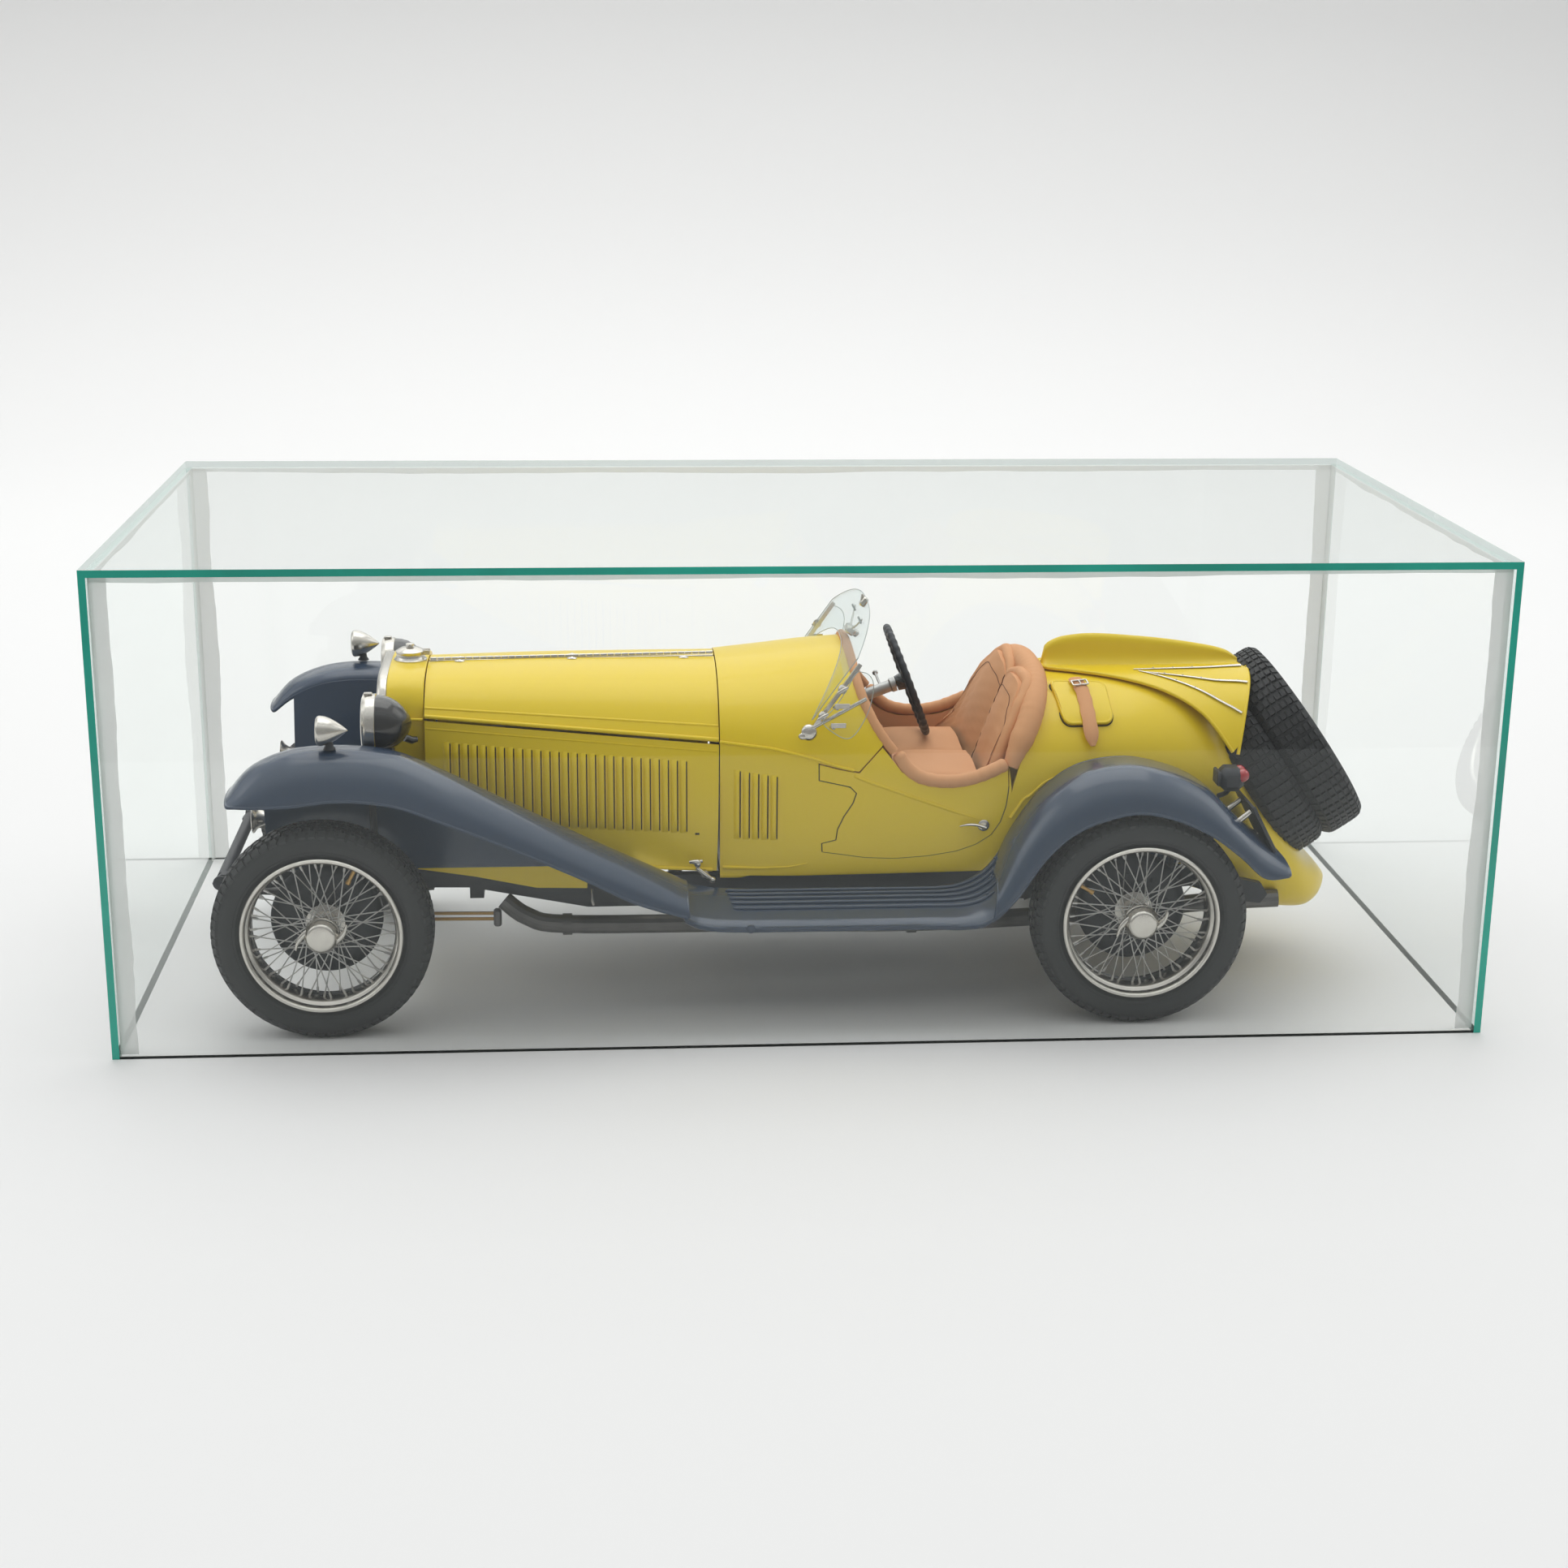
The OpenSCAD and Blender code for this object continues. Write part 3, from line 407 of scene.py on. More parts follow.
def clear(name, tint, gloss_rough=0.02, haze=0.0):
    """Thin glass: light passes straight through and the surface reflects at a glance."""
    m = bpy.data.materials.get(name)
    if m:
        return m
    m = bpy.data.materials.new(name)
    m.use_nodes = True
    nt = m.node_tree
    nt.nodes.clear()
    out = nt.nodes.new("ShaderNodeOutputMaterial")
    through_it = nt.nodes.new("ShaderNodeBsdfTransparent")
    through_it.inputs["Color"].default_value = (*tint[:3], 1)
    shine = nt.nodes.new("ShaderNodeBsdfGlossy")
    shine.inputs["Color"].default_value = (0.95, 1, 0.98, 1)
    shine.inputs["Roughness"].default_value = gloss_rough
    edge = nt.nodes.new("ShaderNodeFresnel")
    edge.inputs["IOR"].default_value = 1.5
    side = nt.nodes.new("ShaderNodeNewGeometry")
    front = nt.nodes.new("ShaderNodeMath")
    front.operation = "SUBTRACT"
    front.inputs[0].default_value = 1
    share = nt.nodes.new("ShaderNodeMath")
    share.operation = "MULTIPLY"
    mix = nt.nodes.new("ShaderNodeMixShader")
    nt.links.new(side.outputs["Backfacing"], front.inputs[1])
    nt.links.new(front.outputs["Value"], share.inputs[0])
    nt.links.new(edge.outputs["Fac"], share.inputs[1])
    nt.links.new(share.outputs["Value"], mix.inputs["Fac"])
    nt.links.new(through_it.outputs["BSDF"], mix.inputs[1])
    nt.links.new(shine.outputs["BSDF"], mix.inputs[2])
    last = mix
    if haze:
        dust = nt.nodes.new("ShaderNodeBsdfDiffuse")
        dust.inputs["Color"].default_value = (0.9, 0.93, 0.92, 1)
        where = nt.nodes.new("ShaderNodeTexCoord")
        noise = nt.nodes.new("ShaderNodeTexNoise")
        noise.inputs["Scale"].default_value = 9
        noise.inputs["Detail"].default_value = 5
        span = nt.nodes.new("ShaderNodeMapRange")
        span.inputs["To Min"].default_value = haze * 0.5
        span.inputs["To Max"].default_value = haze * 1.5
        second = nt.nodes.new("ShaderNodeMixShader")
        nt.links.new(where.outputs["Object"], noise.inputs["Vector"])
        nt.links.new(noise.outputs["Fac"], span.inputs["Value"])
        nt.links.new(span.outputs["Result"], second.inputs["Fac"])
        nt.links.new(mix.outputs["Shader"], second.inputs[1])
        nt.links.new(dust.outputs["BSDF"], second.inputs[2])
        last = second
    nt.links.new(last.outputs["Shader"], out.inputs["Surface"])
    return m


# ---- lines of the body, in millimetres from the front hub line -------------
TOP = [(160, 142.3), (188, 145.2), (212, 147.9), (236, 149.2), (262, 147), (300, 136.6), (345, 136),
    (366, 134.6), (384, 127), (400, 98), (412, 82), (424, 64), (434, 52), (441, 46), (447, 38.6)]
WIDE = [(160, 50.6), (186, 56.5), (206, 59.3), (232, 60.5), (270, 60.5), (300, 58.6), (345, 55),
    (366, 51.2), (384, 48), (400, 45.5), (412, 42.5), (424, 37), (434, 29), (441, 20), (445, 11), (447, 0.6)]
MID = [(160, 112.5), (206, 106), (232, 102), (270, 98), (300, 94), (345, 88), (384, 78), (400, 68),
    (424, 50), (434, 42), (447, 38)]
LOW = [(160, 58), (300, 60), (345, 61), (358, 55), (372, 44), (400, 33), (424, 27), (434, 26), (441, 28),
    (447, 37.4)]
LOW_WIDE = [(160, 53), (206, 57.2), (270, 57.5), (300, 56), (345, 50), (358, 42), (372, 28), (400, 16),
    (424, 11), (434, 8), (447, 0.3)]
FULL = [(160, 0.88), (250, 0.88), (300, 0.86), (384, 0.84), (400, 0.72), (447, 0.72)]
DECK_TOP = [(300, 137.4), (345, 137.2), (384, 137.2), (410, 137.4)]
DECK_WIDE = [(300, 60), (345, 56), (372, 52), (384, 50.4), (404, 47.6)]
DECK_MID = [(300, 93), (345, 88), (384, 84), (404, 80)]
ARC = 70.0
TAIL_TURN, TAIL_END = 384.0, 447.0


def section(x, v, top=TOP, wide=WIDE, mid=MID):
    """Body surface: v from 0 at the crown to ARC at the widest line to 2*ARC at the bottom."""
    x, v = np.broadcast_arrays(np.asarray(x, float), np.asarray(v, float))
    v = v / ARC
    w, m, t = flow(wide, x), flow(mid, x), flow(top, x)
    n = flow(FULL, x)
    a = np.clip(v, 0, 1) * math.pi / 2
    b = np.clip(v - 1, 0, 1) * math.pi / 2
    up_y = w * np.sin(a) ** n
    up_z = m + (t - m) * np.cos(a) ** n
    lw, lo = flow(LOW_WIDE, x), flow(LOW, x)
    return np.stack([x, np.where(v <= 1, up_y, lw + (w - lw) * np.cos(b)),
        np.where(v <= 1, up_z, m + (lo - m) * np.sin(b))], -1)


def round_tail(u):
    """Even measure along the tail: the same as x up to where the tail turns down."""
    u = np.asarray(u, float)
    reach = TAIL_END - TAIL_TURN
    return np.where(u <= TAIL_TURN, u, TAIL_TURN + reach * np.sin(np.clip((u - TAIL_TURN) / 100, 0,
        1) * math.pi / 2))


def body_skin(u, v):
    return section(round_tail(u), np.abs(v)) * np.stack([np.ones_like(u), np.sign(v) + (v == 0),
        np.ones_like(u)], -1)


def deck_skin(x, v):
    p = section(x, np.abs(v), DECK_TOP, DECK_WIDE, DECK_MID)
    return p * np.stack([np.ones_like(x), np.sign(v) + (v == 0), np.ones_like(x)], -1)


def height_at(x, z, top=TOP, wide=WIDE, mid=MID):
    """The v measure of height z on the section at x."""
    x, z = np.asarray(x, float), np.asarray(z, float)
    m, t, lo, n = flow(mid, x), flow(top, x), flow(LOW, x), flow(FULL, x)
    up = np.arccos(np.clip((z - m) / (t - m), 0, 1) ** (1 / n)) / (math.pi / 2)
    down = 1 + np.arcsin(np.clip((m - z) / (m - lo), 0, 1)) / (math.pi / 2)
    return np.where(z >= m, up, down) * ARC


def across_at(x, y, top=TOP, wide=WIDE, mid=MID):
    """The v measure of the point y out from the centre on the upper half of the section at x."""
    return np.arcsin(np.clip(y / flow(wide, x), 0, 1) ** (1 / flow(FULL, x))) / (math.pi / 2) * ARC


def on_side(points):
    """(x, z) points turned into the body skin's own measures."""
    p = np.array(points, float)
    return np.stack([p[:, 0], height_at(p[:, 0], p[:, 1])], 1)


def grown(outline, by):
    """An outline moved out (or in) by a distance."""
    o = np.asarray(outline, float)
    area = 0.5 * np.sum(o[:, 0] * np.roll(o[:, 1], -1) - o[:, 1] * np.roll(o[:, 0], -1))
    before, after = unit(o - np.roll(o, 1, 0)), unit(np.roll(o, -1, 0) - o)
    side = unit(before + after)
    nor = np.stack([side[:, 1], -side[:, 0]], 1) * (1 if area > 0 else -1)
    lean = np.clip(np.sum(side * after, 1), 0.5, 1)
    return o + nor * (by / lean)[:, None]


DOOR_FRONT = [(208.8, 108.7), (208.9, 102), (216.5, 100.4), (222, 99.2), (224.9, 96.2), (223.4, 91.6),
    (219.6, 85.6), (217, 79.8), (216.4, 75), (210.4, 73.4), (210.6, 69.8)]
DOOR_LOW = [(219, 68.7), (229, 67.2), (242, 66.6), (256, 67.6), (268, 69.6), (276.5, 72.6), (283, 76.8),
    (286.8, 82.5), (289, 89.5), (289.9, 98)]
DOOR_RIM = [(289.6, 106.6), (281, 102.4), (272, 99.6), (264, 98.7), (256, 99.2), (249.5, 101.6),
    (243.8, 105.4)]
DOOR_TOP = [(239.8, 110.6), (235.6, 115.8), (230.4, 110.2), (225.8, 105.0), (216, 106.8)]
REAR_RIM = [(291.6, 60, 110.4), (294.6, 57.8, 118), (299, 50.5, 127), (303.4, 37, 133), (306, 20, 136),
    (307, 0, 136.9)]
FRONT_RIM = [(235.6, 58.2, 117.6), (231.5, 56, 124), (226.8, 50, 133), (224.6, 40, 140.2), (223.6, 24, 146),
    (223, 0, 149)]
DECK_EDGE = [(311, 0.2), (312.5, 7), (328, 13), (345, 20), (362, 28.6), (378, 38.4), (390, 46.4)]
DECK_REAR = [(392.3, 46.6), (397.4, 36), (401.4, 23), (403.2, 12), (403.6, 0.2)]


def door_outline():
    return on_side(DOOR_FRONT + DOOR_LOW + DOOR_RIM + DOOR_TOP)


def rim_measures(points):
    return np.array([(x, float(across_at(np.array(x), y)) if z > 108 else float(height_at(x, z)))
        for x, y, z in points])


def skin_along(outline, skin, sd, lift=0.0):
    """Points on a skin along an outline, lifted off it."""
    o = np.asarray(outline, float)
    p = skin(o[:, 0], o[:, 1])
    e = 0.3
    n = unit(np.cross(skin(o[:, 0] + e, o[:, 1]) - skin(o[:, 0] - e, o[:, 1]),
        skin(o[:, 0], o[:, 1] + e) - skin(o[:, 0], o[:, 1] - e)))
    n = np.where((n[:, 1:2] * p[:, 1:2] + n[:, 2:3] * (p[:, 2:3] - 60)) < 0, -n, n)
    return (p + n * lift) * [1, sd, 1]


BON_TOP = [(41, 141.2), (100, 142.4), (166.3, 142.6)]
BON_EDGE_Y = [(41, 39.4), (100, 46), (166.3, 51.6)]
BON_EDGE_Z = [(41, 125.8), (100, 121.9), (166.3, 117.2)]
BON_LOW = [(41, 64), (166.3, 60.2)]


def bonnet_top_skin(x, s):
    """s from 0 at the hinge to ARC at the bead."""
    sd = np.sign(s) + (s == 0)
    s = np.abs(s) / ARC
    y, z, c = flow(BON_EDGE_Y, x), flow(BON_EDGE_Z, x), flow(BON_TOP, x)
    drop = 0.62 * s**2.3 + 0.38 * s**6
    return np.stack([x, y * s * (1 + 0.03 * np.sin(s * math.pi)) * sd, c + (z - c) * drop], -1)


def bonnet_side_skin(x, s):
    """s from 0 under the bead to ARC at the bottom edge."""
    sd = np.sign(s) + (s == 0)
    s = np.abs(s) / ARC
    y, z, low = flow(BON_EDGE_Y, x), flow(BON_EDGE_Z, x) - 0.9, flow(BON_LOW, x)
    return np.stack([x, (y - 0.2 + 2.6 * s + 1.6 * np.sin(s * math.pi)) * sd, z + (low - z) * s], -1)


# ---- settings a user would change ------------------------------------------
def colour_prop(name, text, value):
    return FloatVectorProperty(name=name, description=text, default=value, min=0, max=1, size=3,
        subtype="COLOR")


class CaseSettings(bpy.types.PropertyGroup):
    edge_green: colour_prop("Cut edge", "Colour of the cut edges of the panes", (0.012, 0.42, 0.31))
    glass_tint: colour_prop("Glass tint", "Tint of light through one face of a pane", (0.992, 0.996, 0.993))
    sealant: colour_prop("Sealant", "Colour of the corner sealant", (0.93, 0.94, 0.92))
    sealant_width: FloatProperty(name="Sealant width",
        description="Width of a sealant strip, in millimetres", default=7.4, min=3, max=12)


class PaintSettings(bpy.types.PropertyGroup):
    yellow: colour_prop("Body yellow", "Gloss paint of the body", (0.86, 0.625, 0.006))
    wing_blue: colour_prop("Wing blue", "Satin paint of the wings and boards", (0.030, 0.052, 0.095))
    leather: colour_prop("Leather", "Seats, cockpit roll and strap", (0.50, 0.185, 0.065))
    nickel: colour_prop("Nickel", "Plated fittings", (0.66, 0.63, 0.58))
    rubber: colour_prop("Rubber", "Tyres", (0.022, 0.023, 0.025))


class CarSettings(bpy.types.PropertyGroup):
    louvres: IntProperty(name="Bonnet louvres", description="Louvres in each bonnet side", default=27,
        min=5, max=40)
    cowl_louvres: IntProperty(name="Cowl louvres", description="Louvres in each side of the cowl",
        default=5, min=1, max=8)
    spokes: IntProperty(name="Spokes", description="Wire spokes in each wheel", default=60, min=20, max=80)
    treads: IntProperty(name="Tread blocks", description="Tread blocks round a tyre", default=68, min=30,
        max=90)
    board_ribs: IntProperty(name="Board ribs", description="Ribs on each running board", default=5, min=2,
        max=8)


class StageSettings(bpy.types.PropertyGroup):
    lens: FloatProperty(name="Lens",
        description="Focal length of the camera on a 36 mm sensor, in millimetres", default=56.94, min=20,
        max=200)
    camera_at: FloatVectorProperty(name="Camera", description="Place of the camera",
        default=(-0.0839, -1.0935, 0.3989), size=3, subtype="TRANSLATION", unit="LENGTH")
    pitch: FloatProperty(name="Pitch", description="Tilt down, in degrees", default=16.455, min=-90, max=90)
    yaw: FloatProperty(name="Yaw", description="Turn to the right, in degrees", default=4.29, min=-180,
        max=180)
    roll: FloatProperty(name="Roll", description="Turn about the line of sight, in degrees", default=0.521,
        min=-45, max=45)
    floor: colour_prop("Floor", "Floor and backdrop", (0.80, 0.80, 0.79))


def paint(kind):
    p = bpy.context.scene.roadster_paint
    made = {
        "yellow": lambda: finish("lemon_yellow_gloss", p.yellow, rough=0.36, coat=0.15, grain=0,
            grain_size=60),
        "wing": lambda: finish("wing_blue_satin", p.wing_blue, rough=0.25, coat=0.4, grain=0, grain_size=70),
        "leather": lambda: finish("tan_leather", p.leather, rough=0.62, grain=0.75, grain_size=900,
            fleck=0.22),
        "stitch": lambda: finish("brown_thread", (0.13, 0.045, 0.02), rough=0.8, grain=0.2, grain_size=2500),
        "nickel": lambda: finish("nickel_plate", p.nickel, rough=0.24, metal=1.0, grain=0.04,
            grain_size=1800, fleck=0.05),
        "wire": lambda: finish("spoke_wire", (0.6, 0.59, 0.57), rough=0.32, metal=0.9, grain=0,
            grain_size=2500),
        "rubber": lambda: finish("tyre_rubber", p.rubber, rough=0.6, grain=0, grain_size=120, fleck=0.08),
        "black": lambda: finish("black_enamel", (0.012, 0.012, 0.013), rough=0.16, coat=0.8, grain=0,
            grain_size=90),
        "dark": lambda: finish("dark_chassis_enamel", (0.018, 0.021, 0.028), rough=0.45, grain=0.1,
            grain_size=1200, fleck=0.1),
        "iron": lambda: finish("dark_cast_metal", (0.09, 0.088, 0.085), rough=0.5, metal=0.7, grain=0.2,
            grain_size=1300, fleck=0.15),
        "alloy": lambda: finish("cast_alloy", (0.55, 0.55, 0.54), rough=0.42, metal=0.85, grain=0.15,
            grain_size=1300, fleck=0.08),
        # painted shade: the dark colour of gaps, slots and louvre openings
        "gap_shade": lambda: finish("louvre_shadow", (0.06, 0.045, 0.006), rough=0.7, grain=0.1, grain_size=1200),
        "red": lambda: finish("red_lens", (0.42, 0.012, 0.02), rough=0.12, coat=0.8, grain=0.05,
            grain_size=2500),
        "brass": lambda: finish("old_brass", (0.55, 0.34, 0.12), rough=0.35, metal=1.0, grain=0.1,
            grain_size=1800),
        "exhaust": lambda: finish("exhaust_steel", (0.16, 0.155, 0.15), rough=0.42, metal=0.85, grain=0.15,
            grain_size=1100, fleck=0.2),
        "dial": lambda: finish("instrument_face", (0.6, 0.6, 0.57), rough=0.4, grain=0.05, grain_size=1800),
        "screen": lambda: clear("screen_clear", (0.96, 0.975, 0.975), 0.03),
        "lamp_glass": lambda: clear("lamp_glass_clear", (0.93, 0.95, 0.96), 0.05),
    }
    return made[kind]()


# ---- glass case -------------------------------------------------------------
class ROADSTER_OT_panes(bpy.types.Operator):
    """Five glass panes with green cut edges"""

    bl_idname = "roadster.panes"
    bl_label = "Glass panes"

    def execute(self, context):
        scene = context.scene
        s = scene.roadster_case
        face = clear("pane_face", s.glass_tint, 0.012, 0.005)
        hidden = clear("pane_bonded_end", (0.80, 0.93, 0.90), 0.1)
        edge = finish("pane_cut_edge", s.edge_green, rough=0.22, coat=0.5, grain=0.12, grain_size=160,
            fleck=0.18)
        faint = finish("pane_far_edge", (0.42, 0.66, 0.61), rough=0.3, coat=0.3, grain=0.1, grain_size=160,
            fleck=0.12, alpha=0.45)
        for node, thin, bonded in (
            ("case_front_glass", 1, (0,)),
            ("case_back_glass", 1, (0,)),
            ("case_left_glass", 0, ()),
            ("case_right_glass", 0, ()),
            ("case_top_glass", 2, ()),
        ):
            low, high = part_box(node)
            c = [[low[k], high[k]] for k in range(3)]
            verts = [(c[0][i & 1], c[1][i >> 1 & 1], c[2][i >> 2 & 1]) for i in range(8)]
            quads = {(0, 0): (0, 4, 6, 2), (0, 1): (1, 3, 7, 5), (1, 0): (0, 1, 5, 4), (1, 1): (2, 6, 7, 3),
                (2, 0): (0, 2, 3, 1), (2, 1): (4, 5, 7, 6)}
            mesh = bpy.data.meshes.new(node.replace("_glass", "_pane"))
            mesh.from_pydata(verts, [], list(quads.values()))
            for m in (face, edge, hidden, faint):
                mesh.materials.append(m)
            for poly, (axis, end) in zip(mesh.polygons, quads):
                if axis == thin:
                    poly.material_index = 0
                elif axis in bonded or (axis == 2 and end == 1):
                    poly.material_index = 2
                elif axis == 2 or end == 0 or node == "case_top_glass":
                    poly.material_index = 1 if (node != "case_top_glass" or (axis, end) == (1, 0)) else 3
                else:
                    poly.material_index = 3
            settle(bpy.data.objects.new(mesh.name, mesh), "case_hood", [node])
        return {"FINISHED"}


class ROADSTER_OT_sealant(bpy.types.Operator):
    """White sealant strips inside the corners of the case"""

    bl_idname = "roadster.sealant"
    bl_label = "Corner sealant"

    def execute(self, context):
        scene = context.scene
        s = scene.roadster_case
        white = finish("milky_sealant", s.sealant, rough=0.5, grain=0.2, grain_size=120, fleck=0.05,
            alpha=0.55)
        low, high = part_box("case_sealant")
        low, high = np.array(low) * 1000, np.array(high) * 1000
        rng = np.random.default_rng(4)
        shape = Shape()

        def strip(start, along, across, out, length, width, thick=0.7):
            n = 44
            t = np.linspace(0, 1, n)
            wave = width + np.convolve(rng.normal(0, 0.55, n + 6), np.ones(7) / 7, "valid") * 1.8
            p = np.array(start)[None] + t[:, None] * np.array(along) * length
            a, o = np.array(across, float), np.array(out, float)
            ring = [p, p + o * thick, p + a * (wave * 0.8)[:, None] + o * thick, p + a * wave[:, None]]
            shape.grid(np.stack(ring, 1), close_v=True)

        for sx in (0, 1):
            for sy in (0, 1):
                corner = [(low, high)[sx][0], (low, high)[sy][1], low[2]]
                dx, dy = (1, -1)[sx], (1, -1)[sy]
                strip(corner, (0, 0, 1), (dx, 0, 0), (0, dy, 0), high[2] - low[2], s.sealant_width)
                strip(corner, (0, 0, 1), (0, dy, 0), (dx, 0, 0), high[2] - low[2], s.sealant_width * 0.9)
        for sy in (0, 1):
            start = [low[0], (low, high)[sy][1], high[2]]
            strip(start, (1, 0, 0), (0, 0, -1), (0, (1, -1)[sy], 0), high[0] - low[0], 2.6, 0.5)
        for sx in (0, 1):
            start = [(low, high)[sx][0], low[1], high[2]]
            strip(start, (0, 1, 0), (0, 0, -1), ((1, -1)[sx], 0, 0), high[1] - low[1], 2.6, 0.5)
        shape.make("corner_sealant", "case_hood", "sealant", white, replaces=["case_sealant"],
            shift=(0, 0, 0), sharp=60)
        return {"FINISHED"}


# ---- painted body -----------------------------------------------------------
def louvre(shape, place, x, z0, z1, width, rise, mat=0, dark=1):
    """One pressed louvre: a blister that opens towards the tail, with painted shade in its opening in
    material slot dark. place maps (x, z, out) to points.
    """
    n = 13
    t = np.linspace(0, 1, n)
    ends = np.minimum(1, np.minimum(t, 1 - t) * (z0 - z1) / (width * 0.55)) ** 0.5
    across = [(0, 0), (0.2, 0.42), (0.45, 0.8), (0.72, 0.98), (0.93, 1.0), (1.0, 0.86)]
    g = []
    for k in range(n):
        z = z0 + (z1 - z0) * t[k]
        row = [(x + a * width, z, rise * h * ends[k] + 0.02) for a, h in across]
        row.append((x + width, z, 0.25 * rise * ends[k]))
        g.append(row)
    g = np.array(g)
    pts = place(g[..., 0].ravel(), g[..., 1].ravel(), g[..., 2].ravel()).reshape(g.shape)
    shape.grid(pts, mat=mat)
    # dark strip behind the lip: painted shade in the louvre's opening
    gap_shade = np.array([[(x + width + 0.02, z, 0.05), (x + width + 0.55, z, 0.06)]
        for z in np.linspace(z0 - 0.6, z1 + 0.6, 6)])
    pts = place(gap_shade[..., 0].ravel(), gap_shade[..., 1].ravel(), gap_shade[..., 2].ravel()).reshape(gap_shade.shape)
    shape.grid(pts, mat=dark)


DOOR_GAP = 0.5
LOUVRE_START, LOUVRE_RUN, LOUVRE_TOP, LOUVRE_LOW = 172.6, 15.6, 105.4, 74.6


class ROADSTER_OT_body(bpy.types.Operator):
    """Cowl, sills and tail in one skin, with cowl louvres and swage lines"""

    bl_idname = "roadster.body"
    bl_label = "Body skin"

    def execute(self, context):
        scene = context.scene
        yellow = paint("yellow")
        door = grown(door_outline(), DOOR_GAP)
        n = len(DOOR_FRONT + DOOR_LOW)
        front, rim = door[: n], rim_measures(REAR_RIM)
        top = door[len(door) - len(DOOR_TOP):]
        outline = np.concatenate([
            [(166.8, 0), (200, 0)], rim_measures(FRONT_RIM)[::-1], top[1:], front,
            [(290.3, height_at(290.3, 106))], rim,
            [(330, 0), (360, 0), (384, 0), (420, 0), (455, 0), (483.6, 0)], [(483.6, 2 * ARC - 2)],
            [(455, 2 * ARC), (400, 2 * ARC), (372, 2 * ARC), (358, 2 * ARC), (345, 2 * ARC), (300, 2 * ARC),
            (240, 2 * ARC), (166.8, 2 * ARC), (166.8, ARC)],
        ])
        for sd, tag in ((-1, "left"), (1, "right")):
            skin = lambda u, v, s=sd: body_skin(u, v) * [1, s, 1]
            pressed(f"body_skin_{tag}", outline, skin, "chassis", yellow, step=3.2, thick=1.1,
                    replaces=["body_cowl", "body_sills", "body_tail"])
        # swage lines, bead at the bonnet joint, louvres
        trim = Shape()
        swage = spread(np.stack([[166.8, 188, 205.5, 216, 223.4], height_at([166.8, 188, 205.5, 216, 223.4],
            [117.2, 115.4, 111.6, 108.2, 106.4])], 1), 26)
        trim.tube(skin_along(swage, body_skin, 1, 0.05), 0.75, 8)
        arch = on_side([(291.5, 84), (297, 92.4), (306, 99.6), (318, 104.6)])
        trim.tube(skin_along(spread(arch, 20), body_skin, 1, 0.0), np.linspace(0.9, 0.3, 20), 8)
        sill = on_side([(168, 61.6), (184, 61.8), (196, 62.6), (204, 64.4)])
        trim.tube(skin_along(spread(sill, 14), body_skin, 1, 0.0), np.linspace(0.8, 0.25, 14), 8)
        place = lambda x, z, out: skin_along(np.stack([x, height_at(x, z)], 1), body_skin, 1, out[:, None])
        count = scene.roadster_car.cowl_louvres
        for i in range(count):
            x = LOUVRE_START + i * LOUVRE_RUN / max(count - 1, 1)
            louvre(trim, place, x, LOUVRE_TOP - i * 0.45, LOUVRE_LOW, 2.5, 1.25)
        # dark tube round the door's front and lower edges: painted shade in the door gap
        shadow = grown(door_outline(), DOOR_GAP / 2)
        shadow = shadow[: len(shadow) - len(DOOR_TOP) - len(DOOR_RIM)]
        trim.tube(skin_along(spread(shadow, 110), body_skin, 1, -0.3), 0.36, 6, mat=1)
        trim.mirrored()
        trim.make("body_swages_louvres", "chassis", "body_yellow", yellow, paint("gap_shade"), sharp=40)
        valance = Shape()
        lower = [(36, 64), (95, 64.5), (109.7, 60.5), (109.7, 52.3), (88, 52.8), (61.6, 58.3), (38, 62)]
        valance.plate(lower, 1.1, lambda a, b, d: np.stack([a, 50.6 + d, b], -1))
        valance.mirrored()
        valance.make("frame_valance", "chassis", "body_yellow", yellow)
        return {"FINISHED"}


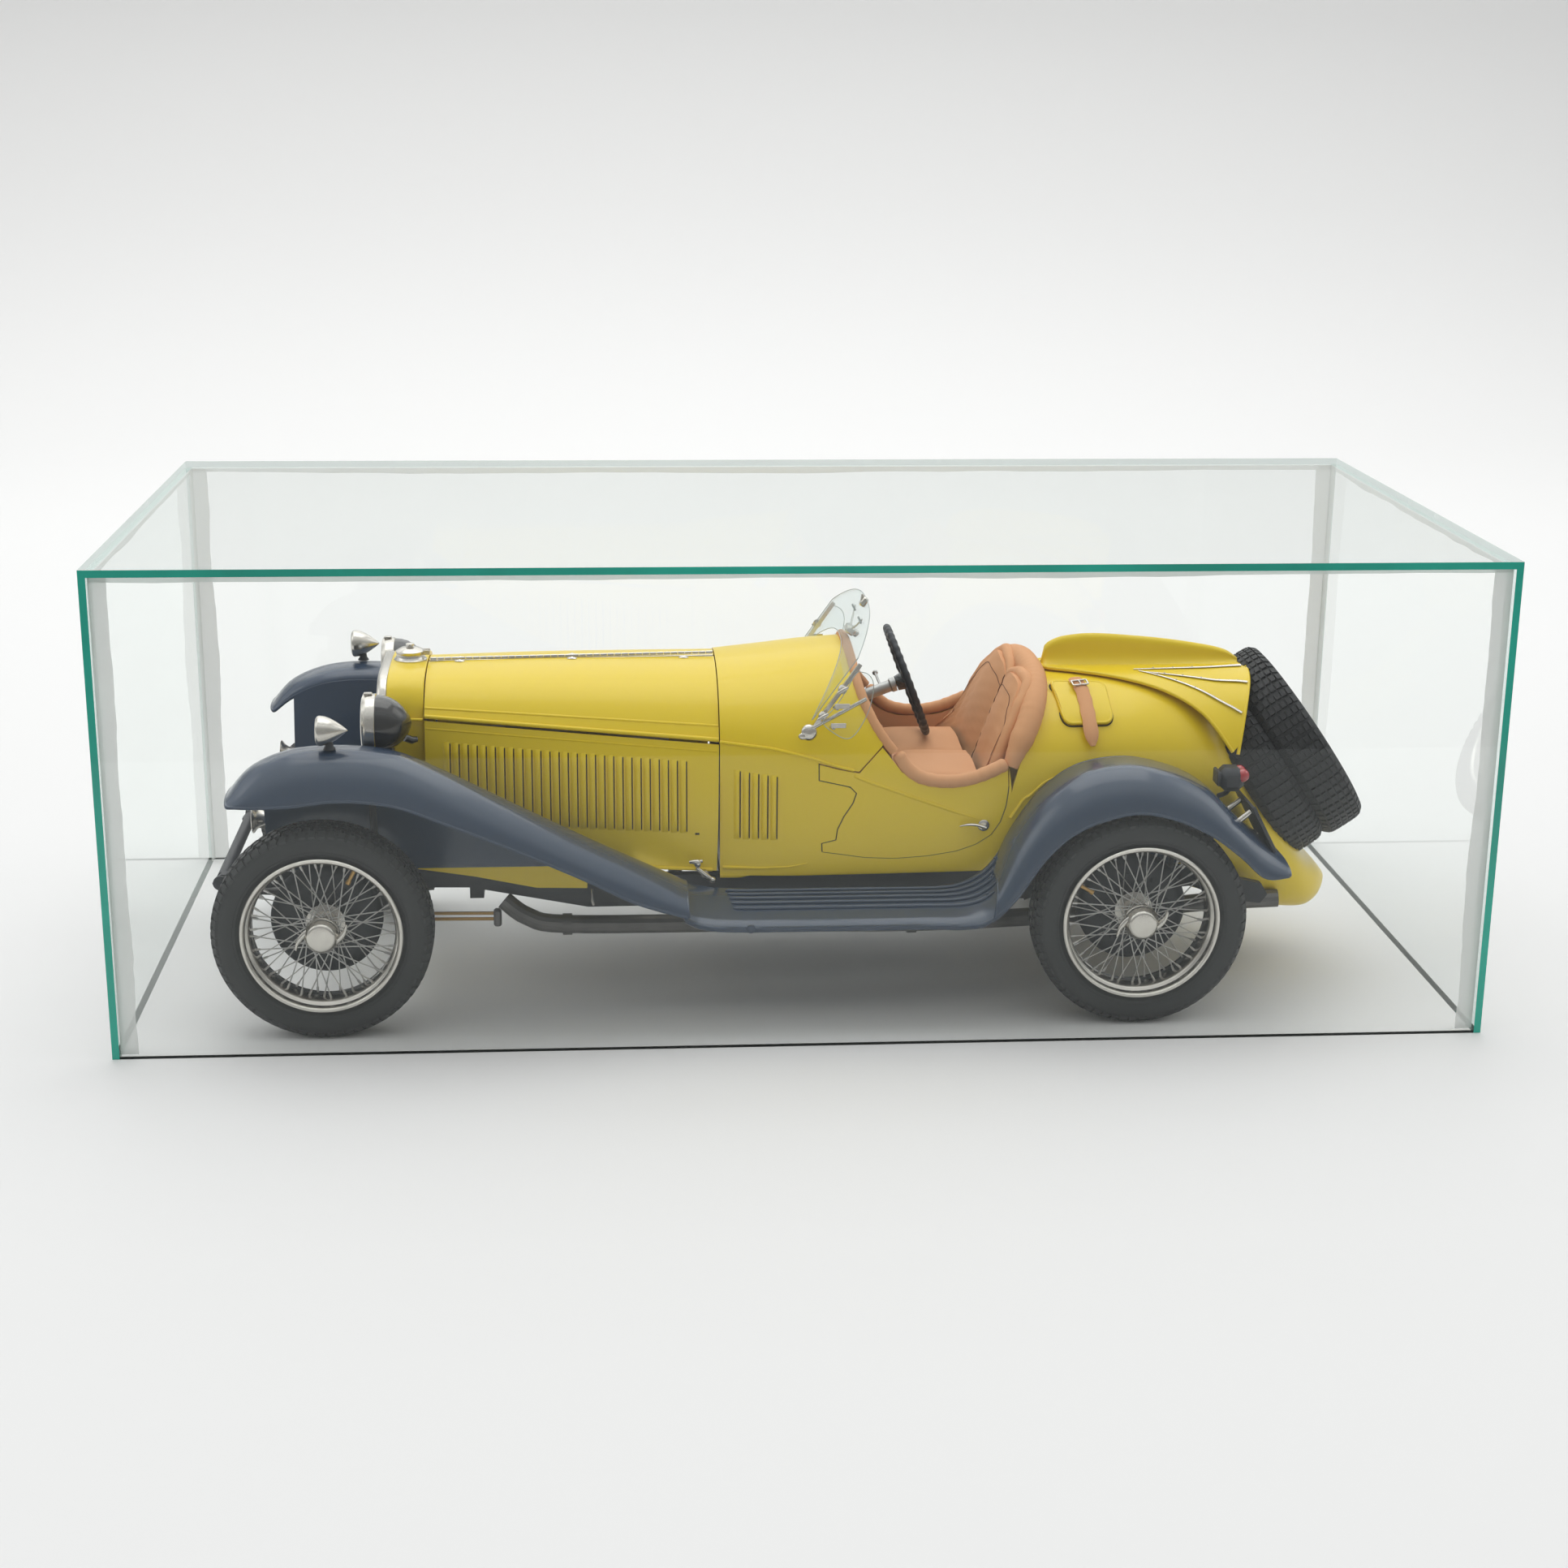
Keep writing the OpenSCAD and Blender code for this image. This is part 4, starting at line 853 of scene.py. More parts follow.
class ROADSTER_OT_deck(bpy.types.Operator):
    """Rear deck, headrest fin and the bright strips"""

    bl_idname = "roadster.deck"
    bl_label = "Rear deck and fin"

    def execute(self, context):
        yellow = paint("yellow")
        edge = np.array([(x, float(across_at(np.array(x), y, DECK_TOP, DECK_WIDE, DECK_MID)))
            for x, y in DECK_EDGE])
        rear = np.array([(x, float(across_at(np.array(min(x, 403.9)), y, DECK_TOP, DECK_WIDE, DECK_MID)))
            for x, y in DECK_REAR])
        edge, rear = spread(through(edge, 40), 30), through(rear, 16)
        half = np.concatenate([edge, rear[1:]])
        for sd, tag in ((-1, "left"), (1, "right")):
            skin = lambda u, v, s=sd: deck_skin(u, v) * [1, s, 1]
            outline = np.concatenate([[(311, 0)], half, [(403.6, 0)], [(380, 0), (345, 0)]])
            pressed(f"rear_deck_{tag}", outline, skin, "chassis", yellow, step=3, thick=1.3,
                lift=0.9, replaces=["tail_deck"])
        bead = Shape()
        bead.tube(skin_along(edge, deck_skin, 1, 0.5), 0.85, 8)
        bead.tube(skin_along(rear, deck_skin, 1, 0.4), 0.8, 8)
        bead.mirrored().make("rear_deck_bead", "chassis", "body_yellow", yellow, sharp=60)
        # fin
        x = np.linspace(312.6, 401.5, 60)
        crest = flow([(312.6, 139.2), (313.6, 145.2), (317, 148.4), (323, 150.4), (334, 151.4), (356, 150),
            (384, 146.3), (396, 143.4), (401.5, 139.8)], x)
        base = flow(DECK_TOP, x) + 0.5
        g = []
        for xi, hi, lo in zip(x, crest, base):
            thin = 2.2 * min(1, (hi - lo) / 5)
            q = np.linspace(-1, 1, 29)
            h = 1 - np.abs(q)
            up = np.clip(h / 0.9, 0, 1)
            y = np.sign(q) * (thin * np.sqrt(np.clip(1 - np.clip(up - 0.72, 0, 1) ** 2 / 0.28**2, 0, 1))
                + 3.4 * (1 - up) ** 5)
            g.append(np.stack([np.full(29, xi), y, lo + (hi - lo) * up], 1))
        Shape().grid(np.array(g)).make("headrest_fin", "chassis", "body_yellow", yellow, sharp=70)
        # bright strips with rivets
        strips = Shape()
        place = lambda p: skin_along(np.array([(a,
            float(across_at(np.array(a), b, DECK_TOP, DECK_WIDE, DECK_MID))) for a, b in p]), deck_skin, 1,
            1.3)
        for ends in (((352, 12.5), (401, 9.5)), ((357, 15.6), (400, 25.5)), ((354, 14.2), (395, 38.6))):
            path = place(spread(ends, 14))
            strips.tube(path, np.linspace(0.35, 1.0, 14), 8, flat=0.55)
            for p in place(spread(ends, 12))[2::2]:
                strips.ball(p + [0, 0, 0.35], 0.38, rings=5, sides=8)
        strips.mirrored().make("deck_strips", "chassis", "nickel", paint("nickel"),
            replaces=["tail_strips"], sharp=50)
        return {"FINISHED"}


HINGE_START, HINGE_END, HINGE_KNUCKLES, HINGE_PLAY, HINGE_RADIUS = 42, 166, 40, 0.12, 0.72
CREST_Z, CREST_RISE = 142.1, 0.01606  # middle line of the bonnet: height at its nose, and rise per millimetre


class ROADSTER_OT_bonnet(bpy.types.Operator):
    """Bonnet tops on a piano hinge, louvred sides, studs and catches"""

    bl_idname = "roadster.bonnet"
    bl_label = "Bonnet"

    def execute(self, context):
        scene = context.scene
        yellow, nickel = paint("yellow"), paint("nickel")
        count = scene.roadster_car.louvres
        for sd, tag in ((-1, "left"), (1, "right")):
            body = f"bonnet_{tag}"
            skin = lambda u, v, s=sd: bonnet_top_skin(u, v) * [1, s, 1]
            outline = [(41.45, 1.7), (104, 1.7), (166.4, 1.7), (166.4, 30), (166.4, ARC), (104, ARC),
                (41.45, ARC), (41.45, 30)]
            pressed(f"bonnet_top_{tag}", outline, skin, body, yellow, step=4, thick=1.0,
                replaces=[f"bonnet_top_{tag}"])
            bead = Shape()
            line = np.stack([np.linspace(41.6, 166.3, 30), np.full(30, ARC - 0.6)], 1)
            bead.tube(skin_along(line, bonnet_top_skin, 1, 0.1), 0.95, 8)
            line[:, 1] -= 4.6
            bead.tube(skin_along(line, bonnet_top_skin, 1, -0.35), 0.7, 8)
            bead.side(sd).make(f"bonnet_bead_{tag}", body, "body_yellow", yellow, sharp=60)
            studs = Shape()
            for x in (55, 104, 153):
                p = bonnet_top_skin(np.array([x]), np.array([5.2]))[0]
                studs.ball(p + [0, 0, 0.1], (2.3, 1.3, 0.75), rings=8, sides=18)
                studs.ball(p + [0, 0, 0.6], (0.8, 0.8, 0.5), rings=6, sides=10)
            # own half of the piano hinge: every other knuckle
            knuckle = (HINGE_END - HINGE_START) / HINGE_KNUCKLES
            for i in range(HINGE_KNUCKLES):
                if (i % 2 == 0) == (sd > 0):
                    start = HINGE_START + i * knuckle
                    xs = np.linspace(start + HINGE_PLAY, start + knuckle - HINGE_PLAY, 2)
                    zs = CREST_Z + CREST_RISE * (xs - HINGE_START)
                    studs.tube(np.stack([xs, np.zeros(2), zs], 1), HINGE_RADIUS, 8, ref=(0, 0, 1))
            leaf = np.linspace(HINGE_START, HINGE_END, 2)
            studs.tube(np.stack([leaf, np.full(2, 1.25), flow(BON_TOP, leaf) - 0.1], 1), 0.5, 8, flat=0.35)
            studs.side(sd).make(f"bonnet_hinge_{tag}", body, "nickel", nickel, sharp=40)
            # side panel
            skin = lambda u, v, s=sd: bonnet_side_skin(u, v) * [1, s, 1]
            outline = [(41.45, 0.5), (104, 0.5), (166.4, 0.5), (166, ARC * 0.6), (165.4, ARC), (104, ARC),
                (41.45, ARC)]
            pressed(f"bonnet_side_{tag}", outline, skin, "chassis", yellow, step=4,
                thick=0.9, replaces=[f"bonnet_side_{tag}"])
            lv = Shape()
            z_top, z_low = lambda x: flow(BON_EDGE_Z, x) - 0.9, lambda x: flow(BON_LOW, x)
            place = lambda x, z, out: skin_along(np.stack([x, (z_top(x) - z) / (z_top(x) - z_low(x)) * ARC],
                1), bonnet_side_skin, 1, out[:, None])
            for i in range(count):
                x = 49.2 + i * 100.4 / (count - 1)
                louvre(lv, place, x, 115.6 - i * 6.4 / (count - 1), 80.5 - i * 3.2 / (count - 1), 2.7, 1.3)
            fold = np.stack([np.linspace(42.2, 165.6, 24), np.full(24, 4.2)], 1)
            lv.tube(skin_along(fold, bonnet_side_skin, 1, -0.35), 0.6, 8)
            lip = np.stack([np.linspace(42.2, 163.6, 24), np.full(24, ARC - 0.6)], 1)
            lv.tube(skin_along(lip, bonnet_side_skin, 1, 0.1), 0.8, 8)
            # dark block in the bonnet side: painted shade in a slot
            slot_at = place(np.array([157.0]), np.array([77.0]), np.array([0.0]))[0]
            lv.block(slot_at + [0, 0.1, 0], (1.8, 0.5, 0.8), 0.1, mat=1)
            lv.side(sd).make(f"bonnet_louvres_{tag}", "chassis", "body_yellow", yellow, paint("gap_shade"),
                sharp=40)
        catch = Shape()
        catch.tube([(163.5, 57.2, 57.2), (160, 57.8, 60), (156.5, 58, 63.2)], [1.0, 1.25, 0.9], 10)
        catch.tube([(153.6, 57.6, 65.6), (156.2, 58.4, 65.9), (159, 57.6, 66)], [0.75, 1.1, 0.75], 10)
        catch.ball((157, 58.2, 65), (1.6, 1.4, 2.0))
        catch.turned([(0, 0), (0, 1.6), (2.2, 1.6), (2.2, 0)], (160, 55.4, 60), (0, 1, 0), 18)
        catch.ball((163.4, 57.2, 57.2), 1.5)
        catch.tube([(112, 52, 52), (112, 55, 48), (112.4, 55.6, 46)], [0.8, 0.8, 0.6], 8)
        catch.mirrored().make("bonnet_catches", "chassis", "nickel", nickel, sharp=45)
        return {"FINISHED"}


class ROADSTER_OT_doors(bpy.types.Operator):
    """Doors with crease, handle, leather roll and lining"""

    bl_idname = "roadster.doors"
    bl_label = "Doors"

    def execute(self, context):
        yellow, leather, nickel = paint("yellow"), paint("leather"), paint("nickel")
        outline = door_outline()
        for sd, tag in ((-1, "left"), (1, "right")):
            body = f"door_{tag}"
            skin = lambda u, v, s=sd: body_skin(u, v) * [1, s, 1]
            pressed(f"door_skin_{tag}", outline, skin, body, yellow, step=3, thick=1.2,
                lift=0.12, replaces=[f"door_{tag}"])
            crease = Shape()
            line = on_side([(223.8, 104.2), (240, 97.6), (258, 90.9), (279, 83.4)])
            crease.tube(skin_along(spread(line, 26), body_skin, 1, -0.25),
                np.concatenate([np.full(20, 0.95), np.linspace(0.9, 0.3, 6)]), 8)
            crease.side(sd).make(f"door_crease_{tag}", body, "body_yellow", yellow, sharp=60)
            roll = Shape()
            path = np.array([(242.2, 57.6, 113), (245.6, 58.9, 107.6), (251, 59.6, 103.4),
                (258, 59.9, 101.4), (266, 59.9, 101), (274, 59.8, 102.2), (281.5, 59.4, 104.8),
                (288.9, 58.8, 108.2)])
            path = through(path, 44)
            rng = np.random.default_rng(7)
            wrinkle = 1 + 0.035 * np.sin(np.arange(44) * 1.7) + rng.normal(0, 0.012, 44)
            wrinkle[[0, -1]] *= 0.7
            roll.tube(path, 2.9 * wrinkle, 16, flat=1.0)
            roll.side(sd).make(f"door_roll_{tag}", body, "tan_leather", leather, sharp=80)
            lining = Shape()
            xs, zs = np.linspace(212, 288, 20), np.linspace(0, 1, 10)
            g = [[(x, flow(WIDE, x) - 3.4 - 1.2 * math.sin(t * 3.1),
                70 + (flow([(212, 108), (236, 112), (246, 103), (258, 99), (272, 99.4), (288, 105)],
                x) - 70) * t) for t in zs] for x in xs]
            lining.grid(np.array(g, float)[:, :, :], flip=True)
            lining.side(sd).make(f"door_lining_{tag}", body, "tan_leather", leather, sharp=80)
            knob = Shape()
            base = skin_along(on_side([(279.6, 81.2)]), body_skin, 1, 0.0)[0]
            knob.turned([(0, 0), (0, 2.5), (0.8, 2.5), (1.2, 2.0), (1.2, 0)], base, (0, 1, 0), 24)
            knob.turned([(1.2, 0), (1.2, 1.5), (2.6, 1.3), (3.0, 0.7), (3.0, 0)], base, (0, 1, 0), 20)
            lever = np.array([base + [0.6, 2.4, -0.6], base + [-3, 3.0, 0.9], base + [-7, 3.0, 1.2],
                base + [-10.6, 2.6, 0.4]])
            knob.tube(through(lever, 14), np.concatenate([np.linspace(1.15, 0.95, 10),
                np.linspace(0.8, 0.35, 4)]), 10, flat=0.7)
            knob.side(sd).make(f"door_handle_{tag}", body, "nickel", nickel, sharp=45)
        return {"FINISHED"}


class ROADSTER_OT_locker(bpy.types.Operator):
    """Locker lid with a leather strap and buckle"""

    bl_idname = "roadster.locker"
    bl_label = "Locker lid"

    def execute(self, context):
        yellow, leather, nickel = paint("yellow"), paint("leather"), paint("nickel")
        corners = [(312.8, 23.5), (336, 23.5), (336.6, 44.6), (315.6, 46.6)]
        o = []
        for k, c in enumerate(corners):
            c, a, b = np.array(c), np.array(corners[k - 1]), np.array(corners[(k + 1) % 4])
            p, q = c + unit(a - c) * 3.4, c + unit(b - c) * 3.4
            o += [p * (1 - t) ** 2 + c * 2 * t * (1 - t) + q * t * t for t in np.linspace(0, 1, 6)]
        outline = np.array([(x, float(across_at(np.array(x), y))) for x, y in o])
        skin = lambda u, v: body_skin(u, v) * [1, -1, 1]
        pressed("locker_lid", outline, skin, "locker_lid", yellow, step=2, thick=1.0,
            lift=1.7, replaces=["locker_lid"])
        rim = Shape()
        ring = skin_along(np.concatenate([outline, outline[:1]]), body_skin, -1, 1.25)
        rim.tube(spread(ring, 90), 0.75, 8, caps=False)
        rim.make("locker_lid_bead", "locker_lid", "body_yellow", yellow, sharp=60)
        lid_gap_shade = Shape()
        # dark ring just outside the lid: painted shade in the gap round the locker lid
        ring = skin_along(grown(np.concatenate([outline]), 0.9), body_skin, -1, 0.06)
        lid_gap_shade.tube(spread(np.concatenate([ring, ring[:1]]), 90), 0.35, 6, caps=False)
        lid_gap_shade.make("locker_gap_shade", "chassis", None, paint("gap_shade"), sharp=60)
        strap = Shape()
        n = 30
        t = np.linspace(0, 1, n)
        y = 23.2 + (52 - 23.2) * t
        x = 323.6 + 3.6 * t + 0.6 * np.sin(t * 5)
        mid = skin_along(np.stack([x, np.array([float(across_at(np.array(a), b)) for a, b in zip(x, y)])],
            1), body_skin, -1, 3.0)
        mid += np.array([0, -0.35, 0.35]) * np.sin(t * 9)[:, None] * 0.8
        along = unit(np.gradient(mid, axis=0))
        across = unit(np.array([1, 0, 0]) - along * along[:, :1])
        out = unit(np.cross(across, along))
        out = np.where(out[:, 2:3] < 0, -out, out)
        half = 3.1 + 0.15 * np.sin(t * 31)
        half[-3:] = [2.9, 2.2, 1.0]
        cross = [(-1, -0.45), (-0.7, 0.45), (0, 0.65), (0.7, 0.45), (1, -0.45), (0, -0.6)]
        g = np.stack([mid + across * (a * half)[:, None] + out * b for a, b in cross], 1)
        strap.grid(g, close_v=True)
        strap.make("locker_strap", "locker_lid", "tan_leather", leather, replaces=["locker_strap"], sharp=50)
        buckle = Shape()
        c = mid[5] + out[5] * 0.9
        frame_ring = [c + across[5] * a + along[5] * b for a, b in ((-3.4, -1.6), (3.4, -1.6), (3.4, 1.8),
            (-3.4, 1.8), (-3.4, -1.6))]
        buckle.tube(spread(np.array(frame_ring), 40), 0.45, 8, caps=False)
        buckle.tube([c + across[5] * 0 + along[5] * -1.6, c + out[5] * 0.3 + along[5] * 2.2], 0.35, 8)
        buckle.make("locker_buckle", "locker_lid", "nickel", nickel, sharp=50)
        return {"FINISHED"}


# ---- wings and running boards -------------------------------------------------
FRONT_CREST = [(-37.5, 104), (-28, 114.5), (-12, 121.3), (8, 123), (30, 120.5), (50, 112), (75, 99),
    (108, 82), (130, 71.5), (152, 60.5)]
FRONT_OUT = [(-35, 103), (-27, 102.2), (-10, 102.6), (10, 104.6), (32, 102), (52, 94.5), (76, 84.5),
    (108, 70), (130, 59), (152, 52)]
FRONT_IN = [(-35, 103.5), (-26, 110), (-11, 116), (8, 117.5), (29, 115), (49, 106.5), (74, 94), (107, 78),
    (129, 67), (151, 58)]
REAR_CREST = [(283, 64), (290, 80), (302, 96.5), (318, 108), (338, 111.8), (356, 108.5), (372, 101),
    (386, 88), (398, 77), (407, 70)]
REAR_OUT = [(281, 50), (290, 58.5), (302, 76), (316, 88), (337, 94.8), (354, 92.8), (372, 85), (385, 75.5),
    (396, 66), (406, 66.5)]
REAR_IN = [(285, 66), (292, 81), (304, 97.5), (319, 108), (338, 111), (355, 107.5), (371, 100), (384, 88),
    (395, 78), (404, 71)]


def sheet(shape, g, thick, mat=0, roll=0.0, edges=("v0", "v1", "u0", "u1")):
    """A pressed sheet from a grid of points, with a lower face, closed rims and rolled edges."""
    g = np.asarray(g, float)
    du, dv = np.gradient(g, axis=0), np.gradient(g, axis=1)
    n = unit(np.cross(du, dv))
    low = g - n * thick
    shape.grid(g, mat=mat).grid(low, mat=mat, flip=True)
    for top, under in ((g[0], low[0]), (g[-1], low[-1]), (g[:, 0], low[:, 0]), (g[:, -1], low[:, -1])):
        shape.grid(np.stack([top, under]), mat=mat)
    if roll:
        for e in edges:
            line = {"v0": g[:, 0], "v1": g[:, -1], "u0": g[0], "u1": g[-1]}[e]
            under = {"v0": low[:, 0], "v1": low[:, -1], "u0": low[0], "u1": low[-1]}[e]
            path = (line + under) / 2
            keep = np.concatenate([[True], np.linalg.norm(np.diff(path, axis=0), axis=1) > 0.05])
            shape.tube(path[keep], roll, 8, mat=mat)
    return g


def wing_grid(crest, out, inner, crest_y, out_y, in_y, count=70):
    c, o, i = (through(t, count) for t in (crest, out, inner))
    rows = []
    for k in range(count):
        a = np.linspace(0, math.pi / 2, 10)
        cy, oy, iy = (f(c[k, 0]) if callable(f) else f for f in (crest_y, out_y, in_y))
        left = [(i[k, 0] + (c[k, 0] - i[k, 0]) * math.cos(t), cy - (cy - iy) * math.sin(t),
            i[k, 1] + (c[k, 1] - i[k, 1]) * math.cos(t)) for t in a[::-1]]
        a = np.linspace(0, math.pi / 2, 14)
        right = [(o[k, 0] + (c[k, 0] - o[k, 0]) * math.cos(t), cy + (oy - cy) * math.sin(t),
            o[k, 1] + (c[k, 1] - o[k, 1]) * math.cos(t)) for t in a]
        rows.append(left + right[1:])
    return np.array(rows)


class ROADSTER_OT_wings(bpy.types.Operator):
    """Four wings with rolled edges and inner guards"""

    bl_idname = "roadster.wings"
    bl_label = "Wings"

    def execute(self, context):
        blue, dark = paint("wing"), paint("dark")
        for sd, tag in ((-1, "left"), (1, "right")):
            shape = Shape()
            g = wing_grid(FRONT_CREST, FRONT_OUT, FRONT_IN, 75, 91.2, 60.3)
            sheet(shape, g, 1.1, roll=0.8)
            guard = []
            for p in g[4:62, 0]:
                low = max(58.6, min(62.5, p[2] - 2))
                guard.append([p + [0, 0.2, 0.2], p * [1, 0, 1] + [0, 56.4, -(p[2] - low) * 0.4],
                    [p[0], 52.2, low + (p[2] - low) * 0.25], [p[0], 51.4, low]])
            sheet(shape, np.array(guard), 0.8)
            shape.side(sd).make(f"wing_front_{tag}", "chassis", "wing_blue", blue,
                replaces=[f"wing_front_{tag}"], sharp=60)
            shape = Shape()
            inner = lambda x: float(flow([(283, 61.4), (345, 59), (372, 53), (384, 48.8), (407, 44.2)], x))
            sheet(shape, wing_grid(REAR_CREST, REAR_OUT, REAR_IN, 74, 91.2, inner), 1.1, roll=0.8)
            # inner panel beside the body, over the wheel
            panel = []
            for p in through(REAR_IN, 50)[2:46]:
                y = inner(p[0]) - 0.3
                panel.append([[p[0], y, p[1] - 0.6], [p[0], y - 0.6, p[1] - (p[1] - 60) * 0.5],
                    [p[0], y - 2.4, 60]])
            sheet(shape, np.array(panel), 0.8)
            shape.side(sd).make(f"wing_rear_{tag}", "chassis", "wing_blue", blue,
                replaces=[f"wing_rear_{tag}"], sharp=60)
        return {"FINISHED"}


class ROADSTER_OT_boards(bpy.types.Operator):
    """Running boards with ribs whose riveted ends climb the rear wings"""

    bl_idname = "roadster.boards"
    bl_label = "Running boards"

    def execute(self, context):
        scene = context.scene
        blue = paint("wing")
        ribs = scene.roadster_car.board_ribs
        inner_z = [(150.5, 58.4), (157, 56.2), (166, 54.9), (180, 54.4), (255, 54.4), (266, 55.2),
            (274, 58), (280, 62), (286, 69.6), (289.4, 76.5)]
        outer_z = [(150.5, 53), (157, 50), (166, 48.6), (180, 48.2), (255, 48.2), (266, 47.8), (274, 48.2),
            (281, 51.2), (289, 59), (292, 63)]
        shape = Shape()
        rows = []
        for s in np.linspace(0, 1, 90):
            x0 = 150.5 + (289.4 - 150.5) * s
            x1 = 150.5 + (292 - 150.5) * s
            row = []
            for t in np.linspace(0, 1, 16):
                x = x0 + (x1 - x0) * t
                z = float(flow(inner_z, x0)) * (1 - t) + float(flow(outer_z, x1)) * t
                y = 61.8 + (90.6 - 61.8) * t
                fall = max(0, (t - 0.9) / 0.1)
                row.append((x, y, z + 1.6 * math.sin(t * math.pi) * (1 - 0.4 * t) - 1.2 * fall**2))
            rows.append(row)
        g = np.array(rows)
        sheet(shape, g, 1.3, roll=0.85, edges=("v1",))
        # skirt under the outer edge and inner return
        skirt = [[p + [0, 0.1, 0], p + [0, -0.6, -2.2], p + [0, -2.4, -3.0]] for p in g[:, -1]]
        sheet(shape, np.array(skirt), 0.7)
        inner = [[p, p + [0, -0.3, -4], p + [0, -0.6, -7.5]] for p in g[4:-14, 0]]
        sheet(shape, np.array(inner), 0.7)
        for k in range(ribs):
            t = 0.10 + 0.13 * k
            line = []
            for s in np.linspace(0.13 + 0.004 * k, 0.985 - 0.012 * k, 80):
                i = s * 89
                a = min(int(i), 88)
                j = t * 15
                b = min(int(j), 14)
                p = (g[a, b] * (1 - j + b) + g[a, b + 1] * (j - b)) * (1 - i + a) + (g[a + 1,
                    b] * (1 - j + b) + g[a + 1, b + 1] * (j - b)) * (i - a)
                line.append(p + [0, 0, 0.25])
            line = np.array(line)
            shape.tube(line, np.concatenate([[0.3], np.full(76, 0.95), [0.9, 0.7, 0.35]]), 10)
            if k in (0, 2, 4):
                shape.ball(line[-3] + [-0.2, 0, 1.0], 0.75, rings=6, sides=10)
        shape.mirrored().make("running_boards", "chassis", "wing_blue", blue, replaces=["running_boards"],
            sharp=45)
        small = Shape()
        small.turned([(-0.4, 0), (-0.4, 1.9), (0.5, 1.9), (0.8, 1.3), (0.8, 0)], (178, 90.6, 46.6),
            (0, 1, -0.2), 20)
        small.mirrored().make("board_bolts", "chassis", "wing_blue", blue)
        return {"FINISHED"}


# ---- wheels and tyres -----------------------------------------------------------
RIM = [(9.2, 33.1), (9.6, 33.6), (10.1, 33.7), (10.5, 33.3), (10.5, 32.4), (9.9, 31.7), (8.6, 31.4),
    (7.4, 31.9), (6.6, 31.9), (6.0, 31.2), (5.6, 30.6), (4.6, 30.0), (0, 29.7)]
TYRE = [(6.6, 32.6), (8.4, 33.8), (9.8, 36.2), (10.5, 39), (10.3, 41.3), (9.4, 43.2), (7.8, 44.3),
    (5, 44.9), (0, 45.1)]


def both(profile):
    return [(-a, r) for a, r in profile] + [(a, r) for a, r in profile[::-1][1:]]


def rim_and_spokes(shape, count, origin, axis, hub_out=13.2, nut=True):
    """Rim, hub, laced spokes and nipples: material 0 plate, 1 wire, 2 dark."""
    origin, axis = np.array(origin, float), unit(axis)
    side = unit(np.cross(axis, [0.123, 0.456, 0.9]))
    up = np.cross(axis, side)
    at = lambda a, r, s: origin + axis * s + r * (side * math.cos(a) + up * math.sin(a))
    shape.turned(RIM, origin, axis, 72)
    # inboard half of the rim and the inside of its barrel in the dark enamel: painted shade inside the wheel
    shape.turned([(-a, r) for a, r in RIM[::-1]], origin, axis, 72, mat=2)
    shape.turned([(-9.6, 33.0), (-6, 31.6), (0, 31.4), (6, 31.6), (9.6, 33.0)], origin, axis, 72, mat=2)
    shape.turned([(-10, 0), (-10, 7.6), (-8.8, 8.2), (-7.2, 8.2), (-6.6, 5.6), (3.2, 5.2), (4.2, 6.9),
        (5.4, 7.3), (6.6, 7.0), (7.2, 6.2), (9, 6.2)], origin, axis, 40)
    for k in range(count):
        outer = k % 3 != 0
        turn = 2 * math.pi * k / count
        lean = (0.86, -0.86)[(k // 1) % 2] if outer else (0.5, -0.5)[(k // 3) % 2]
        hub_s, hub_r = (5.4, 6.7) if outer else (-7.8, 7.8)
        rim_s = (2.6 if k % 2 else 1.2) if outer else -3.4
        p0, p1 = at(turn + lean, hub_r, hub_s + (0.5 if k % 2 else -0.4)), at(turn, 29.9, rim_s)
        path = np.stack([p0, p0 * 0.5 + p1 * 0.5, p1])
        shape.tube(path, 0.27, 6, mat=1)
        along = unit(p1 - p0)
        shape.tube(np.stack([p1 - along * 2.4, p1 - along * 0.1]), 0.52, 7, mat=1)
    if nut:
        shape.turned([(7.2, 5.8), (8.0, 7.1), (9.4, 7.4), (10.2, 7.2), (10.9, 6.6), (11.9, 6.3),
            (12.4, 5.9), (12.9, 5.5), (13.05, 4.9), (13.0, 0)], origin, axis, 48)
        for turn in (0.5, 0.5 + math.pi):
            ear = [at(turn - 0.62, 6.6, 10.0), at(turn - 0.2, 9.6, 10.6), at(turn + 0.08, 11.7, 11.0)]
            ring = []
            for q, (w, h) in zip(through(ear, 9), zip(np.linspace(2.3, 0.9, 9), np.linspace(1.2, 0.7, 9))):
                ring.append((q, w, h))
            rows = []
            for q, w, h in ring:
                radial = unit(q - origin - axis * ((q - origin) @ axis))
                tang = np.cross(axis, radial)
                rows.append([q + tang * w * math.cos(b) + axis * h * math.sin(b)
                    for b in np.linspace(0, 2 * math.pi, 12, endpoint=False)])
            rows.append([rows[-1][0] * 0.5 + rows[-1][6] * 0.5 + radial * 0.6] * 12)
            shape.grid(np.array(rows), close_v=True, flip=True)


